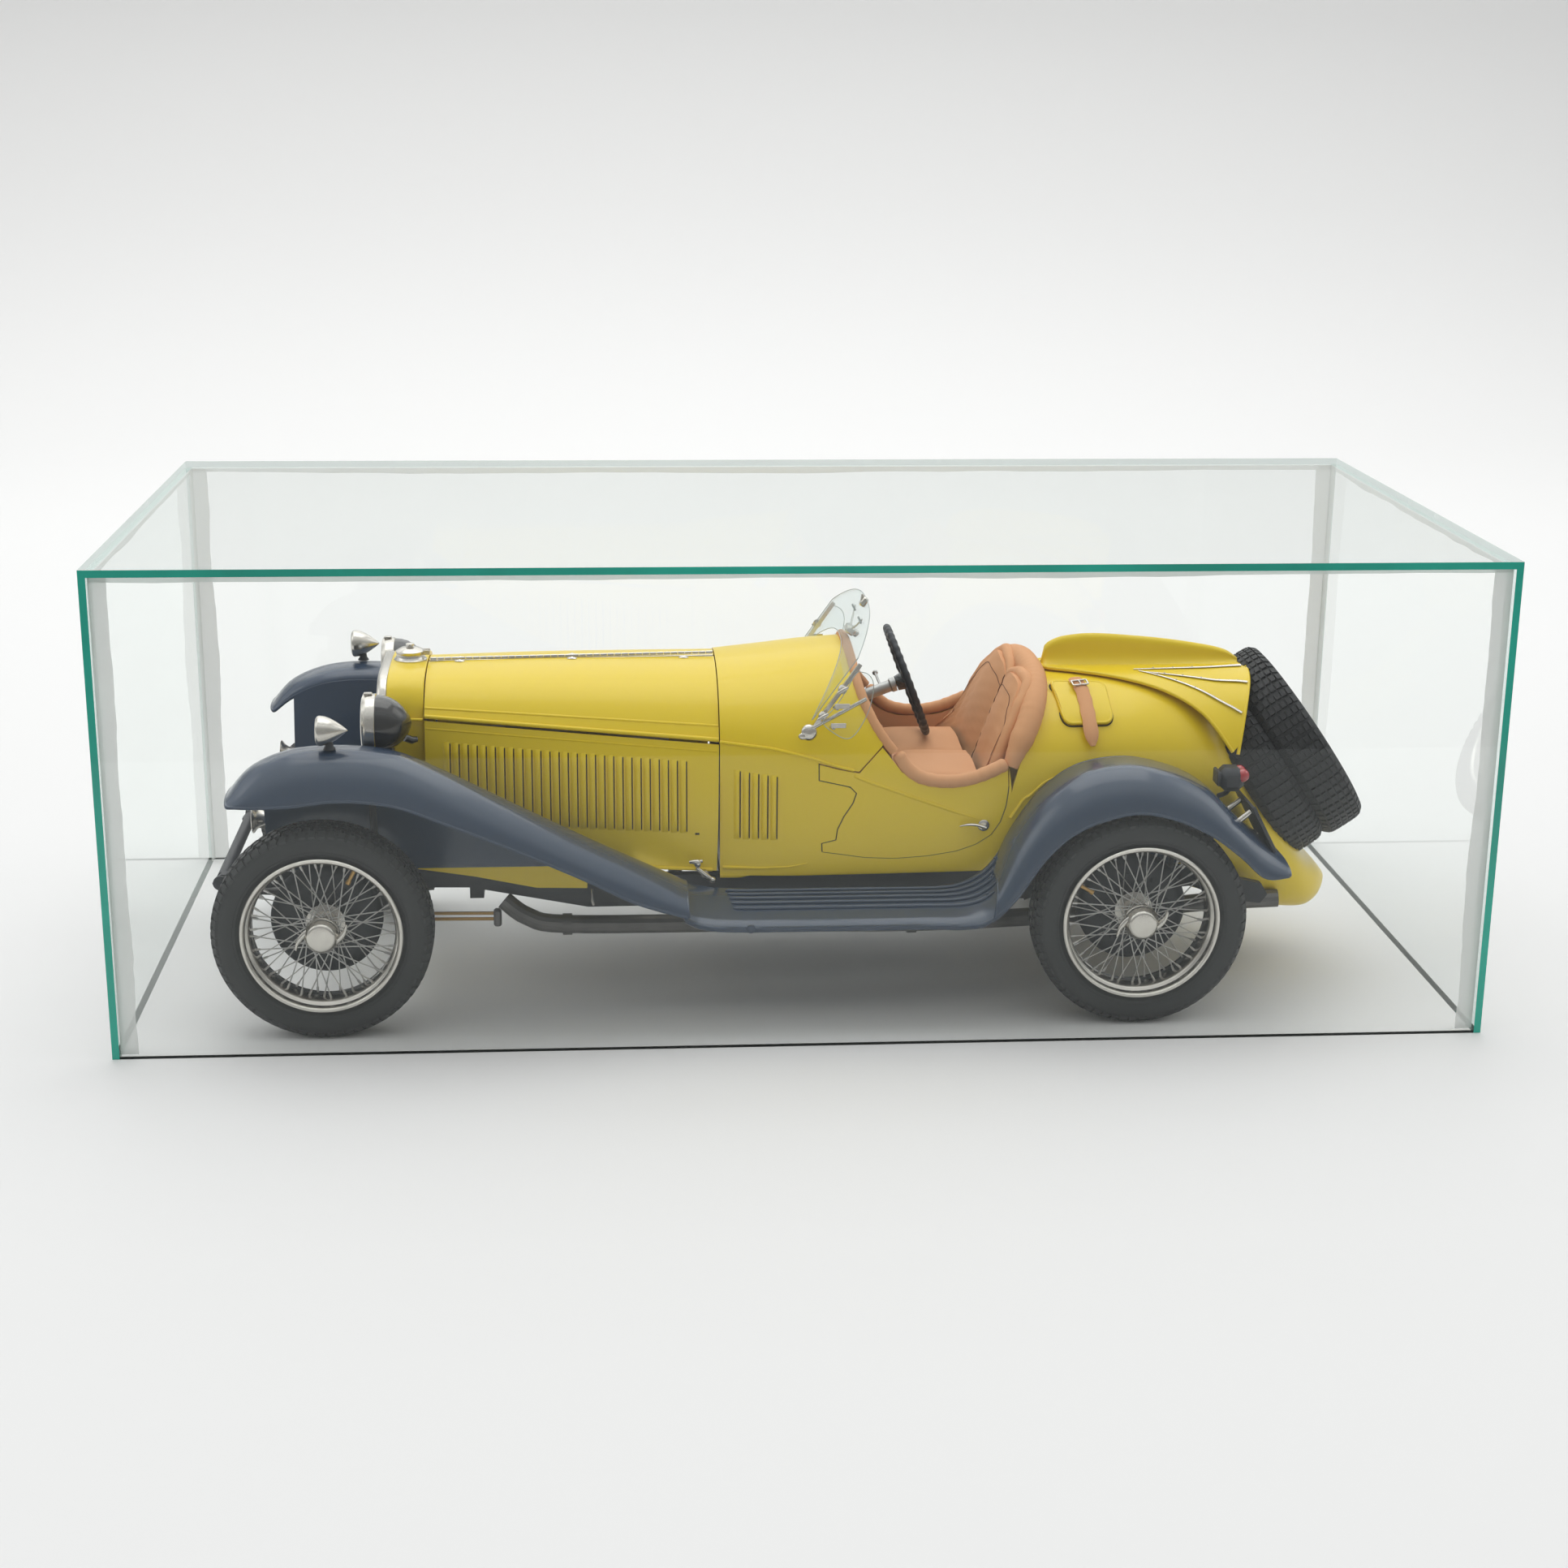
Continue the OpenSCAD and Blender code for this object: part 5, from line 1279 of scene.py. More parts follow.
def tyre_tread(shape, origin, axis, treads, rows=((-8.6, 2.2), (-4.9, 3.0), (0, 4.0), (4.9, 3.0),
        (8.6, 2.2)), reach=46.0, mat=0):
    origin, axis = np.array(origin, float), unit(axis)
    side = unit(np.cross(axis, [0.123, 0.456, 0.9]))
    up = np.cross(axis, side)
    shape.turned(both(TYRE), origin, axis, 144, mat=mat)
    step = 2 * math.pi / treads
    for s, width in rows:
        edge = abs(s) > 8
        for k in range(treads):
            a = (k + (0.5 if abs(abs(s) - 4.9) < 0.1 else 0)) * step
            q = []
            for da in (-0.36, 0.36):
                for ds in (-0.5, 0.5):
                    for top in (0, 1):
                        ss = s + ds * width
                        base = float(np.interp(abs(ss), [0, 5, 7.8, 9.4, 10.3],
                            [45.1, 44.9, 44.3, 43.2, 41.3])) - 0.7
                        tip = float(np.interp(abs(ss), [0, 6.2, 8, 9.2, 9.8],
                            [reach, reach - 0.15, reach - 0.75, reach - 1.7, reach - 2.7]))
                        if edge and top and abs(ss) > 9:
                            ss *= 1.015
                        r = tip if top else base
                        aa = a + da * step * (0.93 if top else 1.05)
                        q.append(origin + axis * ss + r * (side * math.cos(aa) + up * math.sin(aa)))
            shape.add(q, [(1, 3, 7, 5), (0, 1, 5, 4), (2, 6, 7, 3), (0, 2, 3, 1), (4, 5, 7, 6)], mat)
    if reach > 45.5:
        for sgn in (-1, 1):
            for ridge in (35.4, 36.6):
                s = float(np.interp(ridge, [33.8, 36.2, 39], [8.4, 9.8, 10.5]))
                shape.turned([(sgn * (s - 0.3), ridge - 0.45), (sgn * (s + 0.16), ridge),
                    (sgn * (s - 0.3), ridge + 0.45)], origin, axis, 96, mat=mat)


class ROADSTER_OT_wheels(bpy.types.Operator):
    """Four laced wire wheels with knock-off nuts, drums and tyres"""

    bl_idname = "roadster.wheels"
    bl_label = "Road wheels"

    def execute(self, context):
        scene = context.scene
        s = scene.roadster_car
        nickel, wire, iron, rubber, brass = (paint(k) for k in ("nickel", "wire", "dark", "rubber", "brass"))
        for where, x in (("front", 0), ("rear", WHEELBASE)):
            for sd, tag in ((-1, "left"), (1, "right")):
                body = f"wheel_{where}_{tag}"
                origin = (x, HALF_TRACK * sd, HUB_Z)
                hub = Shape()
                rim_and_spokes(hub, s.spokes, origin, (0, sd, 0))
                hub.turned([(-19.3, 19), (-19.3, 23.1), (-18.4, 23.4), (-12.2, 23.2), (-11.2, 22.2),
                    (-10.4, 19), (-10.2, 9), (-10.1, 0)], origin, (0, sd, 0), 64, mat=2)
                for k in range(6):
                    rib = -18.0 + k * 1.1
                    hub.turned([(rib - 0.25, 23.1), (rib, 23.4), (rib + 0.25, 23.1)], origin, (0, sd, 0),
                        64, mat=2)
                for k in range(8):
                    a = k * math.pi / 4 + 0.2
                    hub.ball((x + 15 * math.cos(a), (HALF_TRACK - 10.2) * sd, HUB_Z + 15 * math.sin(a)),
                        (1.3, 0.9, 1.3), mat=2, rings=5, sides=10)
                hub.make(f"wheel_{where}_{tag}", body, "nickel", nickel, wire, iron,
                    replaces=[f"wheel_{where}_{tag}"], sharp=40)
                valve = Shape()
                a = math.radians(62 if where == "front" else 150)
                spot = lambda r, y: (x + r * math.cos(a), (HALF_TRACK + y) * sd, HUB_Z + r * math.sin(a))
                valve.tube([spot(30, 2.2), spot(27, 2.6), spot(24.6, 2.9)], [0.9, 0.8, 0.75], 10)
                valve.tube([spot(24.8, 2.9), spot(23.2, 3.1)], [1.05, 1.05], 10)
                valve.make(f"valve_{where}_{tag}", body, None, brass, sharp=50)
                tyre = Shape()
                tyre_tread(tyre, origin, (0, sd, 0), s.treads)
                tyre.make(f"tyre_{where}_{tag}", body, "tyre", rubber, replaces=[f"tyre_{where}_{tag}"],
                    sharp=40)
        return {"FINISHED"}


class ROADSTER_OT_spares(bpy.types.Operator):
    """Two spare wheels leaning on the tail"""

    bl_idname = "roadster.spares"
    bl_label = "Spare wheels"

    def execute(self, context):
        scene = context.scene
        s = scene.roadster_car
        axis = unit((math.cos(math.radians(34)), 0, math.sin(math.radians(34))))
        wheels, tyres = Shape(), Shape()
        inner, outer = (410.6, 0, 90.8), (427.8, 0, 101.0)
        for i, origin in enumerate((inner, outer)):
            rim_and_spokes(wheels, s.spokes, origin, axis, nut=i > 0)
            tyre_tread(tyres, origin, axis, 62, rows=((-8.7, 2.0), (-5.9, 2.1), (-3.0, 2.1), (0, 2.1),
                (3.0, 2.1), (5.9, 2.1), (8.7, 2.0)))
            for side in (-1, 1):
                start = np.array(origin) + axis * side * 2
                wheels.turned([(-10, 4.2), (10, 4.2)], start, axis, 24, mat=2)
        end = np.array(outer) + axis * 9
        wheels.turned([(0, 5.4), (1.2, 6), (3, 6), (3.8, 5), (4, 0)], end, axis, 8)
        wheels.make("spare_wheels", "chassis", "nickel", paint("nickel"), paint("wire"), paint("dark"),
            replaces=["spare_wheels"], sharp=40)
        tyres.make("spare_tyres", "chassis", "tyre", paint("rubber"), replaces=["spare_tyres"], sharp=40)
        return {"FINISHED"}


# ---- nose: radiator, lamps and horns ------------------------------------------
def radiator_outline(d=0.0, count=72):
    half = [(0, 58 + d), (15, 58 + d), (31 - d, 58.4 + d), (34 - d, 80), (36.3 - d, 110), (36.5 - d, 124),
        (34.4 - d, 133 - d * 0.3), (29 - d, 138.8 - d), (20, 141.2 - d), (8, 141.9 - d), (0, 142 - d)]
    one = through(half, count // 2)
    return np.concatenate([one, one[::-1] * [-1, 1]])


class ROADSTER_OT_radiator(bpy.types.Operator):
    """Radiator shell, plated surround, core with slats and filler cap"""

    bl_idname = "roadster.radiator"
    bl_label = "Radiator"

    def execute(self, context):
        yellow, nickel, dark = paint("yellow"), paint("nickel"), paint("iron")
        ring = lambda x, d: np.array([(x, y, z) for y, z in radiator_outline(d)])
        shell = Shape()
        shell.grid(np.stack([ring(25.4, 2.2), ring(25.4, 0.1), ring(26.4, -0.05), ring(33, -0.15),
            ring(40.2, 0.1), ring(41.0, 0.5), ring(41.0, 2.2)]), close_v=True)
        shell.grid(np.stack([ring(41.0, 2.2), ring(25.4, 2.2)]), close_v=True)
        bead = np.array([(x, 37.6 + (x - 25.6) * 0.1, 124.6) for x in np.linspace(25.8, 40.8, 8)])
        rib = Shape()
        rib.tube(bead * [1, 0.975, 1], 0.7, 8)
        shell.make("radiator_shell", "chassis", "body_yellow", yellow, replaces=["radiator_shell"], sharp=50)
        rib.mirrored().make("radiator_swage", "chassis", "body_yellow", yellow)
        front = Shape()
        front.grid(np.stack([ring(25.2, 3.4), ring(25.2, 0.5), ring(24.4, 0.2), ring(22.6, 0.15),
            ring(21.5, 0.6), ring(21.0, 1.5), ring(21.1, 2.5), ring(21.8, 3.3), ring(25.2, 3.5)]),
            close_v=True)
        front.turned([(0, 7.2), (0.8, 7.2), (1.4, 6.5), (2.4, 6.0), (3.4, 6.0), (4.2, 6.2)],
            (33.5, 0, 141.6), (0, 0, 1), 40)
        front.ball((21.9, 0, 137.4), (0.8, 3.1, 3.1), rings=7, sides=20)
        front.make("radiator_rim", "chassis", "nickel", nickel, replaces=["radiator_rim"], sharp=40)
        core = Shape()
        core.grid(np.stack([ring(27.4, 2.7), ring(38, 2.7)]), close_v=True)
        core.add(ring(27.4, 2.7), [tuple(range(72))])
        core.add(ring(38, 2.7), [tuple(range(72))[::-1]])
        for i in range(-13, 14):
            y = i * 2.45
            top = float(np.interp(abs(y), [0, 8, 20, 29, 34], [138, 138, 137, 134, 124]))
            low = float(np.interp(abs(y), [0, 29, 33], [62, 62, 78]))
            core.block((26.7, y, (top + low) / 2), (1.2, 0.55, top - low), 0.12, mat=1)
        for z in (80, 100, 120):
            core.block((26.5, 0, z), (1.0, 66, 0.6), 0.12, mat=1)
        core.make("radiator_core", "chassis", "engine_metal", paint("dark"), dark, replaces=["radiator_core"])
        cap = Shape()
        cap.turned([(0, 0), (0, 5.2), (0.5, 5.9), (1.2, 6.3), (1.9, 6.3), (2.4, 5.5), (3.0, 4.4),
            (3.4, 3.0), (3.5, 1.4), (4.2, 1.3), (4.3, 1.9), (4.9, 1.9), (5.2, 1.2), (5.2, 0)],
            (33.5, 0, 144.1), (0, 0, 1), 48)
        for sgn in (-1, 1):
            cap.block((40.4, sgn * 1.5, 145.4), (3.4, 0.9, 2.2), 0.25)
        cap.tube([(39.0, 0, 145.5), (37.4, 0, 145.9)], 0.9, 8)
        cap.make("radiator_cap", "radiator_cap", "nickel", nickel, replaces=["radiator_cap"], sharp=40)
        return {"FINISHED"}


class ROADSTER_OT_lamps(bpy.types.Operator):
    """Headlamps, wing lamps, horns and the brackets between them"""

    bl_idname = "roadster.lamps"
    bl_label = "Lamps and horns"

    def execute(self, context):
        nickel, black, glass = paint("nickel"), paint("black"), paint("lamp_glass")
        bowl = Shape()
        bowl.turned([(22.0, 11.2), (22.0, 11.9), (23, 12.1), (25.5, 11.9), (28.4, 11.0), (31.2, 9.4),
            (33.6, 7.2), (35.4, 4.8), (36.7, 2.4), (37.1, 0)], (0, 52, 127), (1, 0, 0), 56)
        bowl.turned([(0, 3.0), (1.4, 2.6), (3, 1.9), (7.5, 1.7), (8, 2.4)], (28, 52, 109.6), (0, 0, 1), 20)
        bowl.tube([(33.6, 46.0, 119), (36.4, 44.6, 117.5), (38.4, 43.4, 117.6)], [1.7, 1.7, 1.2], 12)
        bowl.mirrored().make("headlamp_bowls", "chassis", "black_metal", black, replaces=["headlamp_bowls"],
            sharp=40)
        rim = Shape()
        rim.turned([(18.4, 10.7), (17.2, 10.9), (16.8, 11.5), (17.2, 12.3), (18.0, 12.6), (18.6, 12.2),
            (21.2, 12.5), (22.4, 12.6), (22.8, 12.1), (22.8, 11.4)], (0, 52, 127), (1, 0, 0), 56)
        rim.turned([(19.2, 10.6), (20.4, 9), (23.4, 6), (25.4, 2.8), (25.6, 0)], (0, 52, 127), (1, 0, 0),
            40, mat=1)
        rim.block((19.4, 52, 139.9), (3.6, 1.8, 1.0), 0.3)
        rim.mirrored().make("headlamp_rims", "chassis", "nickel", nickel,
            finish("reflector_silver", (0.9, 0.9, 0.9), rough=0.1, metal=1, grain=0.01),
            replaces=["headlamp_rims"], sharp=40)
        lens = Shape()
        lens.turned([(18.6, 10.9), (17.8, 9.0), (17.0, 6.0), (16.6, 3.0), (16.45, 0)], (0, 52, 127),
            (1, 0, 0), 48)
        lens.mirrored().make("headlamp_lenses", "chassis", "lamp_glass", glass,
            replaces=["headlamp_lenses"], sharp=60)
        small = Shape()
        small.turned([(0, 0), (0.1, 3), (0.3, 5.2), (0.9, 6.0), (1.7, 6.3), (2.4, 6.2), (4.2, 5.9),
            (6.4, 5.0), (8.6, 3.7), (10.6, 2.3), (12.2, 1.0), (13.0, 0.3), (13.1, 0)], (0, 78, 131),
            (1, 0, 0), 48)
        small.turned([(0, 2.6), (0.6, 2.3), (1.4, 1.7), (4.4, 1.5)], (5.4, 78, 123.2), (0, 0, 1), 20, mat=1)
        small.mirrored().make("wing_lamps", "chassis", "nickel", nickel, paint("dark"),
            replaces=["wing_lamps"], sharp=40)
        horn = Shape()
        horn.turned([(-31.2, 6.2), (-30.9, 6.5), (-30.4, 6.2), (-29.5, 4.9), (-28, 3.7), (-25.5, 2.7),
            (-22, 2.0), (-16, 1.5), (-4, 1.35), (-3.6, 3.4), (0, 3.8), (3.6, 3.4), (5.6, 2.0), (6, 0)],
            (0, 50, 85.5), (1, 0, 0), 40)
        horn.turned([(-30.6, 6.0), (-28.6, 3.2), (-24, 1.6), (-22, 0)], (0, 50, 85.5), (1, 0, 0), 32, mat=1)
        horn.tube([(3, 50, 83.7), (5, 48, 75.5), (5, 46.8, 61.3)], 1.3, 10, ref=(1, 0, 0), mat=1)
        arm = through([(31, 36.9, 104), (30, 44, 106), (28, 52, 108.4), (28, 52, 110)], 16)
        horn.tube(arm, 1.6, 10, ref=(1, 0, 0), mat=1)
        horn.mirrored()
        horn.tube([(28, -51, 108.6), (28, -30, 104.5), (24.2, 0, 102.6), (28, 30, 104.5), (28, 51, 108.6)],
            1.3, 10)
        horn.make("horns_and_brackets", "chassis", "nickel", nickel, paint("dark"),
            replaces=["horns_and_brackets"], sharp=40)
        return {"FINISHED"}


# ---- windscreen -----------------------------------------------------------------
RAKE = math.radians(35.5)


def on_screen(y, s, d):
    """Point on the leaning screen: y across, s up the slope, d out of its face to the front."""
    y, s, d = np.broadcast_arrays(*(np.asarray(q, float) for q in (y, s, d)))
    return np.stack([204 + s * math.sin(RAKE) + d * math.cos(RAKE), y,
        124 + s * math.cos(RAKE) - d * math.sin(RAKE)], -1)


FLAP_Y = 64.6


class ROADSTER_OT_windscreen(bpy.types.Operator):
    """Leaning pane on flat posts, with side deflectors, wiper motor and mirror"""

    bl_idname = "roadster.windscreen"
    bl_label = "Windscreen"

    def execute(self, context):
        nickel, glass, dark = paint("nickel"), paint("screen"), paint("iron")
        rim = finish("pane_rim", (0.42, 0.46, 0.45), rough=0.25, coat=0.4, grain=0.05, grain_size=1500)
        t = np.linspace(-1, 1, 61)
        top = 53 - 16 * np.abs(t) ** 2.6
        low = 33.2 - 29.2 * np.abs(t) ** 2.4
        outline = np.concatenate([np.stack([58.6 * t, top], 1), np.stack([58.6 * t, low], 1)[::-1]])
        pane = Shape()
        upper, under = [np.stack([on_screen(58.6 * t, low + (top - low) * f, d)
            for f in np.linspace(0, 1, 6)], 1) for d in (-1.0, -1.7)]
        pane.grid(upper).grid(under, flip=True)
        edge = np.concatenate([outline, outline[:1]])
        pane.tube(spread(on_screen(edge[:, 0], edge[:, 1], -1.35), 220), 0.2, 6, mat=1, caps=False)
        flap = through([(224.4, 150.6), (228.5, 149.2), (230.6, 144.4), (229.1, 134.8), (225.6, 127),
            (222.1, 122.4), (218.6, 121.6), (213.4, 124.6), (209.9, 127.8), (209.8, 130.2), (214.5, 135.4),
            (219.2, 142.6), (222.4, 148.8), (224.4, 150.6)], 60)
        for sgn in (-1, 1):
            y = FLAP_Y * sgn
            c = flap[:-1].mean(0)
            rings = np.array([[(c[0] + (a - c[0]) * f, y, c[1] + (b - c[1]) * f) for a, b in flap[:-1]]
                for f in (0.001, 0.35, 0.7, 1.0)])
            pane.grid(rings, close_v=True, flip=sgn > 0)
            pane.tube(np.array([(a, y, b) for a, b in spread(flap, 90)]), 0.17, 6, mat=1, caps=False,
                ref=(0, 1, 0))
        pane.make("windscreen_glass", "windscreen", "lamp_glass", glass, rim, replaces=["windscreen_glass"],
            sharp=50)
        frame_part = Shape()
        for sgn in (-1, 1):
            post = [(59.3, -3.5), (61.4, -3.5), (61.7, 12), (62, 34.6), (61.2, 35.9), (60.2, 35.4),
                (59.6, 16)]
            frame_part.plate(post, 1.7, lambda a, b, d, s=sgn: on_screen(a * s, b, d + 0.6))
            for h in (9, 23):
                c = on_screen(61.8 * sgn, h, 0.4)
                frame_part.turned([(-2.2, 0), (-2.2, 1.0), (-0.2, 1.2), (0, 1.9), (1.6, 1.9), (2.1, 1.4),
                    (2.1, 0)], c, (0, sgn, 0), 20)
                frame_part.tube([c + np.array([0, 2.6 * sgn, 0]), c + np.array([2.2, 2.9 * sgn, 1.2])],
                    [0.8, 0.6], 8)
                frame_part.tube([c + np.array([0, 2.6 * sgn, 0]), c + np.array([-2.2, 2.9 * sgn, -1.2])],
                    [0.8, 0.6], 8)
            foot = on_screen(60.6 * sgn, -0.6, 0.4)
            frame_part.turned([(-1.4, 0), (-1.4, 3.4), (0.4, 3.5), (1.2, 3.0), (1.6, 2.0), (2.6, 2.0),
                (2.9, 0)], foot, (0, sgn, 0), 28)
            frame_part.ball(foot + np.array([-2.4, 0.8 * sgn, -1.4]), (2.2, 0.9, 1.6))
            for a, b in ((214.5, 134.4), (213.0, 126.0)):
                frame_part.tube([(a, 61.8 * sgn, b), (a + 1, 64.9 * sgn, b + 0.4)], [0.9, 0.9], 8)
                frame_part.block((a + 3.0, 65.2 * sgn, b + 1.4), (6.4, 0.5, 2.2), 0.2)
            bar = through([(204, 61.0, 124.6), (212, 61.2, 129), (222, 61.4, 134.6), (228, 61.6, 138)],
                12) * [1, sgn, 1]
            frame_part.tube(bar, 0.85, 10)
        # wiper motor, arm and mirror
        c = on_screen(0, 37.6, 1.2)
        frame_part.block(c, (4.6, 8.4, 3.6), 0.9, turn=Matrix.Rotation(RAKE, 3, "Y"), mat=0)
        frame_part.turned([(0, 1.6), (2.6, 1.6), (3.1, 1.0), (3.1, 0)], on_screen(0, 37.6, 2.4),
            (math.cos(RAKE), 0, -math.sin(RAKE)), 20)
        for sgn in (-1, 1):
            arm = np.stack([on_screen(2.5 * sgn, 38.4, 1.0), on_screen(9 * sgn, 42, 0.6),
                on_screen(15 * sgn, 46, -0.3)])
            frame_part.tube(arm, [0.55, 0.45, 0.4], 8)
            frame_part.block(on_screen(13 * sgn, 45.0, -0.6), (0.6, 12, 0.9), 0.2,
                turn=Matrix.Rotation(RAKE, 3, "Y"), mat=1)
        frame_part.tube([on_screen(0, 50.6, -2.0), on_screen(0, 53.6, -3.6)], 0.7, 8)
        frame_part.block(on_screen(0, 51.2, -1.3), (2.6, 4.0, 4.2), 0.5, turn=Matrix.Rotation(RAKE, 3, "Y"))
        frame_part.make("windscreen_frame", "windscreen", "nickel", nickel, dark,
            replaces=["windscreen_frame"], sharp=40)
        return {"FINISHED"}


# ---- cockpit ------------------------------------------------------------------------
LEAN = math.radians(20.8)


class ROADSTER_OT_steering(bpy.types.Operator):
    """Steering wheel with a finger-grip rim on its column"""

    bl_idname = "roadster.steering"
    bl_label = "Steering wheel"

    def execute(self, context):
        dark, silver, black = paint("dark"), paint("alloy"), paint("black")
        axis = np.array([math.cos(LEAN), 0, math.sin(LEAN)])
        up = np.array([-math.sin(LEAN), 0, math.cos(LEAN)])
        side = np.array([0, 1.0, 0])
        centre = np.array([255.5, 25, 124.5])
        wheel = Shape()
        m, k = 180, 12
        rows = []
        for i in range(m):
            a = 2 * math.pi * i / m
            out = side * math.cos(a) + up * math.sin(a)
            grip = 1.95 + 0.2 * math.cos(a * 36)
            row = []
            for j in range(k):
                b = 2 * math.pi * j / k
                row.append(centre + out * (25 + grip * math.cos(b)) + axis * (grip * 0.85 * math.sin(b)))
            rows.append(row)
        wheel.grid(np.array(rows), close_u=True, close_v=True)
        for a in (math.pi / 4, 3 * math.pi / 4, 5 * math.pi / 4, 7 * math.pi / 4):
            out = side * math.cos(a) + up * math.sin(a)
            tang = np.cross(axis, out)
            q = []
            for r, w in ((3.2, 1.7), (13, 1.2), (23.6, 1.0)):
                bow = -1.0 + 0.8 * (r / 24)
                q.append([centre + out * r + tang * w * c + axis * (bow + 0.55 * s)
                    for c, s in ((-1, -1), (1, -1), (1, 1), (-1, 1))])
            wheel.grid(np.array(q), close_v=True, mat=0)
        wheel.turned([(-5, 0), (-5, 3.4), (-2, 4), (0.2, 4.0), (0.9, 3.2), (1.3, 1.6), (1.3, 0)], centre,
            axis, 32, mat=1)
        wheel.turned([(1.2, 1.5), (2.0, 1.3), (2.2, 0)], centre, axis, 20, mat=2)
        wheel.turned([(-17.8, 1.5), (-5, 1.5)], centre, axis, 20, mat=2)
        wheel.make("steering_wheel", "steering", "dark_plastic", dark, black, silver,
            replaces=["steering_wheel"], sharp=50)
        column = Shape()
        column.turned([(-50, 0), (-50, 2.7), (-8, 2.7), (-7.4, 3.3), (-5.4, 3.3), (-5.2, 1.8)], centre,
            axis, 28)
        lever = centre + axis * -12
        column.tube(through([lever, lever + side * 6 + up * 3, lever + side * 13 + up * 4.4], 8), 0.6, 8)
        column.ball(lever + side * 13.6 + up * 4.5, 1.3)
        column.make("steering_column", "chassis", "nickel", silver, replaces=["steering_column"], sharp=40)
        return {"FINISHED"}


class ROADSTER_OT_cockpit(bpy.types.Operator):
    """Instrument board, levers, floor mat and leather roll round the opening"""

    bl_idname = "roadster.cockpit"
    bl_label = "Cockpit trim"

    def execute(self, context):
        leather, nickel, dark, dial = paint("leather"), paint("nickel"), paint("dark"), paint("dial")
        board = Shape()
        outline = [(y, z) for y, z in through([(-54, 105), (-54.4, 114), (-53, 122), (-49.6, 130),
            (-42, 137), (-28, 142.6), (0, 145), (28, 142.6), (42, 137), (49.6, 130), (53, 122), (54.4, 114),
            (54, 105), (0, 103.5), (-54, 105)], 70)[:-1]]
        board.plate(outline, 1.6, lambda a, b, d: np.stack([214.4 + d, a, b], -1))
        for y, z, r in ((-34, 120, 5.4), (-18, 124, 7.2), (0, 126, 5.4), (16, 124, 5.4), (40, 119, 7.2),
                (-46, 112, 3.2), (-5, 113, 3.0), (8, 113, 3.0)):
            board.turned([(0, r), (1.0, r + 0.2), (1.5, r - 0.2), (1.5, r - 0.8), (1.1, r - 0.9)],
                (215.1, y, z), (1, 0, 0), 32, mat=1)
            board.turned([(1.05, r - 0.9), (1.1, 0)], (215.1, y, z), (1, 0, 0), 32, mat=2)
            board.tube([(216.35, y, z), (216.35, y + r * 0.45, z + r * 0.4)], 0.22, 6, mat=0)
        board.make("instrument_board", "chassis", None, dark, nickel, dial, sharp=40)
        lever = Shape()
        lever.tube(through([(236, 3, 66), (236.6, 3, 80), (240.5, 3.6, 92), (243.4, 4, 99)], 14),
            np.linspace(1.2, 0.8, 14), 10)
        lever.ball((243.8, 4, 100.4), 2.1, mat=1)
        lever.tube(through([(232, -5, 66), (234, -5, 80), (240, -5.4, 90)], 12), 0.8, 8)
        lever.make("gear_and_brake_levers", "chassis", None, nickel, paint("black"), sharp=40)
        mat = Shape()
        mat.block((229, 0, 60.6), (34, 99, 1.2), 0.3)
        mat.make("floor_mat", "chassis", None, leather)
        roll = Shape()
        path = through([(291.0, 57.0, 106.4), (293.2, 56.0, 112), (296.0, 53.8, 117.6), (299, 50, 122.8),
            (301.6, 44.6, 127.6), (303.6, 38, 131.2), (305.2, 29.6, 134.2), (306.4, 19, 136),
            (306.8, 8, 136.8), (306.8, -0.5, 136.9)], 60)
        rng = np.random.default_rng(3)
        roll.tube(path, np.interp(np.arange(60), [0, 10, 59],
            [3.2, 5.2, 5.4]) * (1 + 0.02 * np.sin(np.arange(60) * 1.9) + rng.normal(0, 0.012, 60)), 16,
            ref=(1, 0, 0))
        front = through([(224.6, 0, 149.6), (225.0, 22, 146.8), (226.2, 39, 140.4), (228.6, 48.6, 133.2),
            (232.6, 54.4, 125), (236.8, 57, 118.6), (240.6, 58, 113.8)], 50)
        roll.tube(front, 2.1 * (1 + 0.03 * np.sin(np.arange(50) * 1.9)), 12, ref=(1, 0, 0))
        roll.mirrored().make("cockpit_trim", "chassis", "tan_leather", leather, replaces=["cockpit_trim"],
            sharp=80)
        return {"FINISHED"}


